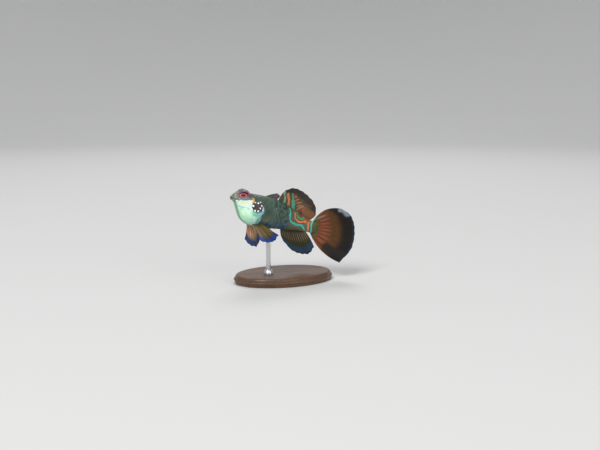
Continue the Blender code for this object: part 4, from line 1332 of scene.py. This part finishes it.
def skin_finish():
    """The skin's ground, its maze of bands, the painted marks over them, and painted shade in the eye
    sockets, along the mouth and under the head.
    """
    material, shader, n = principled(
        "mandarin_skin", Coat_Weight=0.12, Coat_Roughness=0.15, Specular_IOR_Level=0.25
    )
    straight = n.axes(n.attribute("straight", "Vector"))
    x, z = straight["X"], straight["Z"]
    cloud = n.ramp(n.noise(0.35, 4.0, 0.55), 0.3, 0.7)
    ground = n.mix(cloud, DEEP_TEAL, TEAL)
    ground = n.mix(n.ramp(z, 1.5, 6.0, 0.0, 0.8), ground, OLIVE)
    ground = n.mix(n.ramp(x, 18.0, 24.0, 0.0, 0.8), ground, REAR_SHADE)
    low_side = n.times(n.ramp(z, -0.8, -4.5, 0.0, 0.85), n.ramp(x, 14.5, 20.0, 0.15, 1.0))
    ground = n.mix(low_side, ground, SEA_BLUE)
    rear = n.ramp(x, 27.0, 31.5)
    bands = n.plus(n.attribute("bands"), n.uneven(1.3, 3.0, 0.5))
    core, edge, valley = n.ramp(bands, 0.30, 0.65), n.ramp(bands, -0.25, 0.10), n.ramp(bands, -0.5, -0.8)
    front = n.mix(n.times(edge, 0.7), ground, FAINT_OUTLINE)
    front = n.mix(n.times(core, 0.6), front, FAINT_BAND)
    vivid = n.mix(n.times(rear, 0.6), ground, BAND_BROWN)
    vivid = n.mix(n.times(valley, 0.9), vivid, BAND_GREEN)
    vivid = n.mix(edge, vivid, BAND_OUTLINE)
    vivid = n.mix(core, vivid, BAND_ORANGE)
    lines = n.plus(n.times(z, 7.0), n.times(n.noise(0.5, 2.0), 7.0))
    low_rear = n.mix(n.ramp(n.math("SINE", lines), -0.7, 0.5), BELLY_SHADE, BELLY_OLIVE)
    vivid = n.mix(n.ramp(z, -1.2, -2.2), vivid, low_rear)
    colour = n.mix(rear, front, vivid)
    root = n.mix(n.ramp(n.noise(1.1, 3.0), 0.36, 0.62), TAIL_OLIVE, TAIL_MOSS)
    colour = n.mix(n.ramp(x, 42.2, 42.9), colour, root)
    mottle = n.ramp(n.noise(0.9, 3.0), 0.42, 0.60)
    head_colour = n.mix(n.times(mottle, 0.75), HEAD_GREY, HEAD_MOTTLE)
    above_eyes = n.times(n.ramp(z, 2.2, 3.4, 0.0, 0.95), n.ramp(x, 1.8, 3.0))
    brow = n.mix(n.ramp(n.noise(1.5, 1.0), 0.60, 0.68), HEAD_BROWN, BROW_BEAD)
    head_colour = n.mix(above_eyes, head_colour, brow)
    colour = n.mix(n.ramp(x, 8.8, 6.8), colour, head_colour)
    # Painted shade under the chin: the throat between the pale cheek areas is painted a darker green, with
    # patches darker still.
    below_mouth = n.times(n.ramp(z, -0.6, -1.6), n.ramp(x, 15.0, 13.0))
    colour = n.mix(below_mouth, colour, n.mix(cloud, SHADED_THROAT, THROAT_SHADE))
    mint = n.mix(n.ramp(n.noise(0.45, 3.0), 0.35, 0.65), MINT, PALE_MINT)
    mint = n.mix(n.times(n.ramp(bands, 0.1, 0.5), 0.14), mint, BRIGHT_GREEN)
    mint = n.mix(n.ramp(z, -3.4, -0.8, 0.0, 0.9), mint, CHEEK_WHITE)
    mint = n.mix(n.ramp(x, 9.0, 11.5, 0.0, 0.5), mint, MINT_BLUE)
    # Painted shade: the pale area turns a deeper green near its edges below the eye band, where the head
    # curves under.
    mint_edge_shade = n.times(n.ramp(n.attribute("mint_area"), -1.3, -0.1), n.ramp(z, -0.6, -2.2))
    mint = n.mix(mint_edge_shade, mint, MINT_EDGE_SHADE)
    over = (
        ("brown_patch", PATCH_OLIVE, 1.6, 0.6, 0.7),
        ("mint_area", mint, 0.35, 0.4, 1.0),
        ("dark_patch", PATCH_DARK, 0.5, 0.5, 1.0),
        ("dark_centre", MAROON, 0.6, 0.4, 0.8),
        ("pale_mark", PALE_STREAK, 0.6, 0.3, 0.85),
        ("amber_mark", AMBER, 1.1, 0.5, 0.9),
        ("maroon_mark", MAROON, 0.4, 0.3, 0.9),
        ("turquoise_mark", TURQUOISE, 0.22, 0.2, 1.0),
        ("orange_mark", BRIGHT_ORANGE, 0.22, 0.2, 1.0),
        ("green_mark", BRIGHT_GREEN, 0.25, 0.2, 0.9),
        ("dull_green_mark", DULL_GREEN, 0.35, 0.3, 0.85),
        ("purple_mark", VIOLET, 0.4, 0.2, 0.9),
        ("root_brown_mark", ROOT_BROWN, 0.3, 0.3, 0.9),
        ("bar_shade", BAR_SHADE, 0.4, 0.3, 0.85),
        ("eye_band", EYE_BAND, 0.35, 0.1, 0.9),
        ("deep_blue_mark", DEEP_BLUE, 0.5, 0.3, 0.85),
        ("pale_blue_mark", PALE_BLUE, 0.35, 0.25, 0.9),
        ("red_mark", RED, 0.3, 0.2, 1.0),
        ("yellow_mark", YELLOW, 0.6, 0.2, 0.75),
        ("gold_mark", GOLD, 0.35, 0.3, 0.95),
        ("white_dots", WHITE, 0.14, 0.1, 1.0),
    )
    for mark, paint, feather, wobble, amount in over:
        colour = painted(n, colour, mark, paint, feather, wobble, amount)
    opening = n.attribute("from_opening")
    ring = n.times(n.ramp(opening, 0.95, 1.02), n.ramp(opening, 1.70, 1.35))
    lids = n.mix(n.ramp(n.noise(0.8, 2.0), 0.42, 0.62), ORBIT_PINK, ORBIT_VIOLET)
    colour = n.mix(n.times(ring, 0.85), colour, lids)
    # Painted shade: inside the lids' opening, the skin folded in behind the eyeball is painted near black.
    colour = n.mix(n.ramp(opening, 1.04, 0.96), colour, SOCKET_PAINTED_SHADE)
    # Painted shade: a dark line along the groove of the mouth.
    mouth = n.times(n.ramp(n.attribute("from_mouth"), 0.2, 0.08), 0.9)
    colour = n.mix(mouth, colour, MOUTH_PAINTED_SHADE)
    n.give(shader.inputs["Base Color"], colour)
    with_grain(n, shader, 0.05, 0.30, 0.50, 1.0)
    return material


def fin_finish(name, alpha_root, alpha_margin, marks=(), **paint):
    """A fin's finish, with painted marks that run on from the body."""
    material, shader, n = principled(name, Coat_Weight=0.04, Coat_Roughness=0.25, Specular_IOR_Level=0.16)
    colour = group_node(n, FIN_PAINT, **paint).outputs["Colour"]
    for mark, paint_of_mark, amount, feather in marks:
        colour = painted(n, colour, mark, paint_of_mark, feather, 0.25 + 0.4 * feather, amount)
    n.give(shader.inputs["Base Color"], colour)
    if (alpha_root, alpha_margin) != (1.0, 1.0):
        reach = n.axes(n.attribute("fin_place", "Vector"))["Y"]
        n.give(shader.inputs["Alpha"], n.ramp(reach, 0.1, 1.0, alpha_root, alpha_margin))
    with_grain(n, shader, 0.03, 0.34, 0.52, 0.8)
    return material


def iris_finish():
    """A red-orange iris with fine streaks round a dark red pupil."""
    material, shader, n = principled("iris", Specular_IOR_Level=0.15)
    across, up, _ = n.axes(n.attribute("eye_place", "Vector"))
    radius = n.math("SQRT", n.plus(n.times(across, across), n.times(up, up)))
    turn = n.math("ARCTAN2", up, across)
    spokes = n.new("ShaderNodeCombineXYZ", X=n.times(turn, 7.0), Y=n.times(radius, 1.2))
    streak = n.new("ShaderNodeTexNoise", Vector=spokes.outputs["Vector"], Scale=1.0)
    fine = n.ramp(streak.outputs["Fac"], 0.3, 0.7)
    colour = n.mix(fine, IRIS_PALE, IRIS_RED)
    rings = (  # the radii where each colour starts and where it is full
        (0.85, 0.68, IRIS_INNER),
        (1.25, 1.60, IRIS_OUTER),
        (1.62, 1.80, IRIS_RIM),
        (0.68, 0.42, PUPIL_RED),
    )
    for start, full, paint in rings:
        colour = n.mix(n.ramp(radius, start, full), colour, paint)
    n.give(shader.inputs["Base Color"], colour)
    n.give(shader.inputs["Roughness"], n.ramp(fine, 0.0, 1.0, 0.25, 0.4))
    return material


def cornea_finish():
    """A thin clear film, which shows by its highlights."""
    material, shader, n = principled("clear_cornea", Coat_Weight=1.0, Coat_Roughness=0.02)
    n.give(shader.inputs["Base Color"], n.mix(n.noise(0.5), CORNEA_TINT, CORNEA_SHADE))
    n.give(shader.inputs["Roughness"], n.ramp(n.noise(1.0), 0.2, 0.8, 0.02, 0.06))
    n.give(shader.inputs["Alpha"], n.ramp(n.noise(0.7), 0.2, 0.8, 0.06, 0.09))
    return material


def spine_finish():
    """Smooth, slightly green bone."""
    material, shader, n = principled("pale_bone", Coat_Weight=0.2)
    n.give(shader.inputs["Base Color"], n.mix(n.noise(2.0, 3.0), BONE_GREEN, BONE_PALE))
    n.give(shader.inputs["Roughness"], n.ramp(n.noise(3.0), 0.3, 0.7, 0.3, 0.5))
    return material


def wood_finish():
    """Dark oiled wood with long grain along the base and fine open pores."""
    material, shader, n = principled("dark_oiled_wood", Coat_Weight=0.12, Coat_Roughness=0.3)
    stretch, turn = (0.07, 1.0, 0.8), (0.02, 0.05, 0.04)
    mapping = n.new("ShaderNodeMapping", Vector=n.place(), Scale=stretch, Rotation=turn)
    stretched = mapping.outputs["Vector"]
    rings = n.noise(0.16, 2.0, 0.4, stretched, 0.3)
    wave = n.math("SINE", n.times(rings, 75.0))
    figure = n.ramp(wave, -1.0, 1.0)
    pores = n.ramp(n.noise(2.2, 2.0, 0.5, stretched), 0.60, 0.70)
    colour = n.mix(figure, WOOD_BROWN, WOOD_DARK)
    patches = n.ramp(n.noise(0.1, 2.0, 0.5, stretched), 0.3, 0.7, 0.0, 0.5)
    colour = n.mix(patches, colour, WOOD_PATCH)
    colour = n.mix(n.times(pores, 0.8), colour, WOOD_PORE)
    n.give(shader.inputs["Base Color"], colour)
    n.give(shader.inputs["Roughness"], n.ramp(figure, 0.0, 1.0, 0.38, 0.5))
    bump(n, shader, n.minus(n.times(figure, 0.3), pores), 0.5, 0.00006)
    return material


def steel_finish():
    """Steel brushed round the rod."""
    material, shader, n = principled("brushed_steel", Metallic=1.0)
    mapping = n.new("ShaderNodeMapping", Vector=n.place(), Scale=(0.25, 0.25, 10.0))
    lines = n.noise(2.4, 3.0, 0.6, mapping.outputs["Vector"])
    n.give(shader.inputs["Base Color"], n.mix(lines, STEEL_SHADE, STEEL_LIGHT))
    n.give(shader.inputs["Roughness"], n.ramp(lines, 0.3, 0.7, 0.22, 0.42))
    bump(n, shader, lines, 0.12, 0.00002)
    return material


def make_stage():
    """A pale floor that sweeps up all round, soft lights and the camera."""
    material, _, _ = principled("pale_floor", Base_Color=FLOOR_GREY, Roughness=0.8, Specular_IOR_Level=0.1)
    around = np.arange(FLOOR_SIDES) * 2 * math.pi / FLOOR_SIDES
    sweep = [(r, 0.0) for r in (0.02, 0.3, 0.7, 1.1)]
    for a in np.linspace(0.0, math.pi / 2, 14):
        sweep.append((FLOOR_RADIUS + FLOOR_SWEEP * math.sin(a), FLOOR_SWEEP - FLOOR_SWEEP * math.cos(a)))
    rings = [points(r * np.cos(around), r * np.sin(around), h) for r, h in sweep]
    faces = [tuple(reversed(f)) for f in grid_faces(len(sweep), FLOOR_SIDES, closed=True)]
    faces.append(tuple(range(FLOOR_SIDES)))
    mesh_piece("floor", np.vstack(rings), faces, material)
    scene = bpy.context.scene
    scene.view_settings.view_transform = "Standard"
    world = bpy.data.worlds.new("studio")
    scene.world = world
    world.use_nodes = True
    sky = world.node_tree.nodes["Background"]
    sky.inputs["Color"].default_value = (*SKY_WHITE, 1.0)
    sky.inputs["Strength"].default_value = SKY_STRENGTH
    target = points(*CAMERA_TARGET)
    for name, azimuth, elevation, distance, size, power in LIGHTS:
        light = bpy.data.lights.new(name, "AREA")
        light.shape = "SQUARE"
        light.size = size
        light.energy = power
        lamp = bpy.data.objects.new(name, light)
        scene.collection.objects.link(lamp)
        aim(lamp, target, azimuth, elevation, distance)
    camera = bpy.data.cameras.new("camera")
    camera.lens = CAMERA_LENS
    camera.sensor_width = SENSOR_WIDTH
    camera.clip_start, camera.clip_end = 0.01, 20.0
    holder = bpy.data.objects.new("camera", camera)
    scene.collection.objects.link(holder)
    aim(holder, target, CAMERA_AZIMUTH, CAMERA_ELEVATION, CAMERA_DISTANCE)
    scene.camera = holder


def aim(obj, target, azimuth, elevation, distance):
    """Places a lamp or camera round a target, looking at it."""
    a, e = math.radians(azimuth), math.radians(elevation)
    away = points(math.sin(a) * math.cos(e), -math.cos(a) * math.cos(e), math.sin(e))
    obj.location = target + away * distance
    obj.rotation_euler = Vector(-away).to_track_quat("-Z", "Y").to_euler()


RIB_TREE, RIB_SOCKETS = rib_tree()
RAY_SHADE = 0.7  # how dark the rays are beside their membrane

FIN_FINISHES = {
    "first_dorsal_fin": dict(
        alpha_root=1.0, alpha_margin=0.97,
        marks=(("dull_green_mark", DULL_GREEN, 0.8, 0.3), ("purple_mark", VIOLET, 0.9, 0.3)),
        Membrane=(0.050, 0.070, 0.048), Membrane_Shade=(0.080, 0.070, 0.045), Streak=(0.12, 0.09, 0.05),
        Other_Streak=(0.09, 0.10, 0.06), Margin=(0.060, 0.056, 0.050), Rim=(0.12, 0.07, 0.04),
        Streak_Width=0.20, Streak_Start=0.1, Streak_End=0.8, Margin_Width=0.8, Rim_Width=0.25,
    ),
    "second_dorsal_fin": dict(
        alpha_root=1.0, alpha_margin=0.97,
        marks=(
            ("fin_rust_mark", (0.140, 0.050, 0.028), 0.9, 0.5),
            ("amber_mark", (0.180, 0.078, 0.032), 0.85, 0.9),
            ("fin_tan_mark", (0.310, 0.155, 0.085), 0.95, 0.3),
            ("fin_green_mark", (0.064, 0.270, 0.165), 1.0, 0.3),
            ("fin_pale_mark", (0.170, 0.320, 0.220), 0.9, 0.35),
            ("fin_salmon_mark", (0.480, 0.170, 0.085), 1.0, 0.3),
            ("maroon_mark", MAROON, 0.9, 0.4), ("red_mark", RED, 0.9, 0.3),
        ),
        Membrane=(0.070, 0.062, 0.034), Membrane_Shade=(0.085, 0.056, 0.026), Streak=(0.110, 0.062, 0.036),
        Other_Streak=(0.080, 0.070, 0.044), Margin=(0.034, 0.026, 0.020), Rim=(0.034, 0.026, 0.024),
        Streak_Width=0.14, Streak_Start=0.05, Streak_End=0.85, Margin_Width=4.2, Rim_Width=0.35,
    ),
    "anal_fin": dict(
        alpha_root=1.0, alpha_margin=0.98,
        Membrane=(0.018, 0.026, 0.006), Membrane_Shade=(0.034, 0.028, 0.008), Streak=(0.155, 0.165, 0.100),
        Other_Streak=(0.185, 0.088, 0.062), Streaks_To_A_Ray=2.0,
        Margin=(0.016, 0.042, 0.085), Rim=(0.020, 0.018, 0.014),
        Streak_Width=0.24, Streak_Start=0.14, Streak_End=0.40, Margin_Width=4.2, Rim_Width=1.2,
    ),
    "tail_fin": dict(
        alpha_root=1.0, alpha_margin=0.985,
        marks=(
            ("tail_olive_mark", TAIL_OLIVE, 0.8, 0.4),
            ("tail_green_mark", (0.110, 0.190, 0.125), 0.85, 0.3),
            ("tail_blue_mark", (0.225, 0.255, 0.300), 0.9, 1.3),
            ("tail_dark_mark", (0.017, 0.015, 0.014), 0.9, 1.8),
        ),
        Membrane=(0.098, 0.038, 0.010), Membrane_Shade=(0.066, 0.033, 0.011), Streak=(0.225, 0.056, 0.030),
        Other_Streak=(0.230, 0.064, 0.036), Margin=(0.010, 0.008, 0.007), Rim=(0.012, 0.022, 0.046),
        Streak_Width=0.46, Streak_Start=0.14, Streak_End=0.31, Margin_Width=8.4, Rim_Width=1.4,
    ),
    "pectoral_fin": dict(
        alpha_root=0.22, alpha_margin=0.10,
        Membrane=(0.09, 0.12, 0.09), Membrane_Shade=(0.06, 0.11, 0.10), Streak=(0.085, 0.095, 0.055),
        Other_Streak=(0.070, 0.100, 0.070), Margin=(0.06, 0.10, 0.11), Rim=(0.05, 0.11, 0.14),
        Streak_Width=0.3, Streak_Start=0.05, Streak_End=0.9, Margin_Width=0.6, Rim_Width=0.2,
    ),
    # The far right pelvic fin: the same fin as the near left one, painted much brighter; the extra
    # brightness is painted light.
    "pelvic_fin_right": dict(
        alpha_root=1.0, alpha_margin=0.98,
        Membrane=(0.260, 0.240, 0.150), Membrane_Shade=(0.340, 0.160, 0.090), Streak=(0.900, 0.370, 0.240),
        Other_Streak=(0.900, 0.620, 0.320), Streaks_To_A_Ray=1.5,
        Margin=(0.036, 0.064, 0.190), Rim=(0.090, 0.050, 0.150),
        Streak_Width=0.36, Streak_Start=0.12, Streak_End=0.53, Margin_Width=4.2, Rim_Width=0.35,
    ),
    # The near left pelvic fin: painted darker than the far right one; the darkness is painted shade.
    "pelvic_fin": dict(
        alpha_root=1.0, alpha_margin=0.98,
        Membrane=(0.056, 0.040, 0.011), Membrane_Shade=(0.042, 0.046, 0.018), Streak=(0.380, 0.175, 0.120),
        Other_Streak=(0.175, 0.135, 0.032), Streaks_To_A_Ray=1.5,
        Margin=(0.011, 0.036, 0.195), Rim=(0.018, 0.030, 0.090),
        Streak_Width=0.26, Streak_Start=0.20, Streak_End=0.60, Margin_Width=2.6, Rim_Width=0.4,
    ),
}

make_skin(skin_finish())
iris, cornea = iris_finish(), cornea_finish()
for side, word in ((1, "left"), (-1, "right")):
    make_eye(side, word, iris, cornea)
make_cheek_spines(spine_finish())
made_finishes = {}
for name, spec in FINS.items():
    kind = name if name in FIN_FINISHES else name.replace("_left", "").replace("_right", "")
    if kind not in made_finishes:
        values = FIN_FINISHES[kind]
        made_finishes[kind] = fin_finish(kind + "_finish", **values)
        solid = dict(values, alpha_root=1.0, alpha_margin=1.0)
        for label in ("Membrane", "Membrane_Shade"):
            solid[label] = tuple(RAY_SHADE * c for c in values[label])
        made_finishes[kind + "_rays"] = fin_finish(kind + "_ray_finish", **solid)
    slot = "pectoral" if "pectoral" in kind else "fin"
    make_fin(name, spec, made_finishes[kind], made_finishes[kind + "_rays"])
make_stand(wood_finish(), steel_finish())
make_stage()
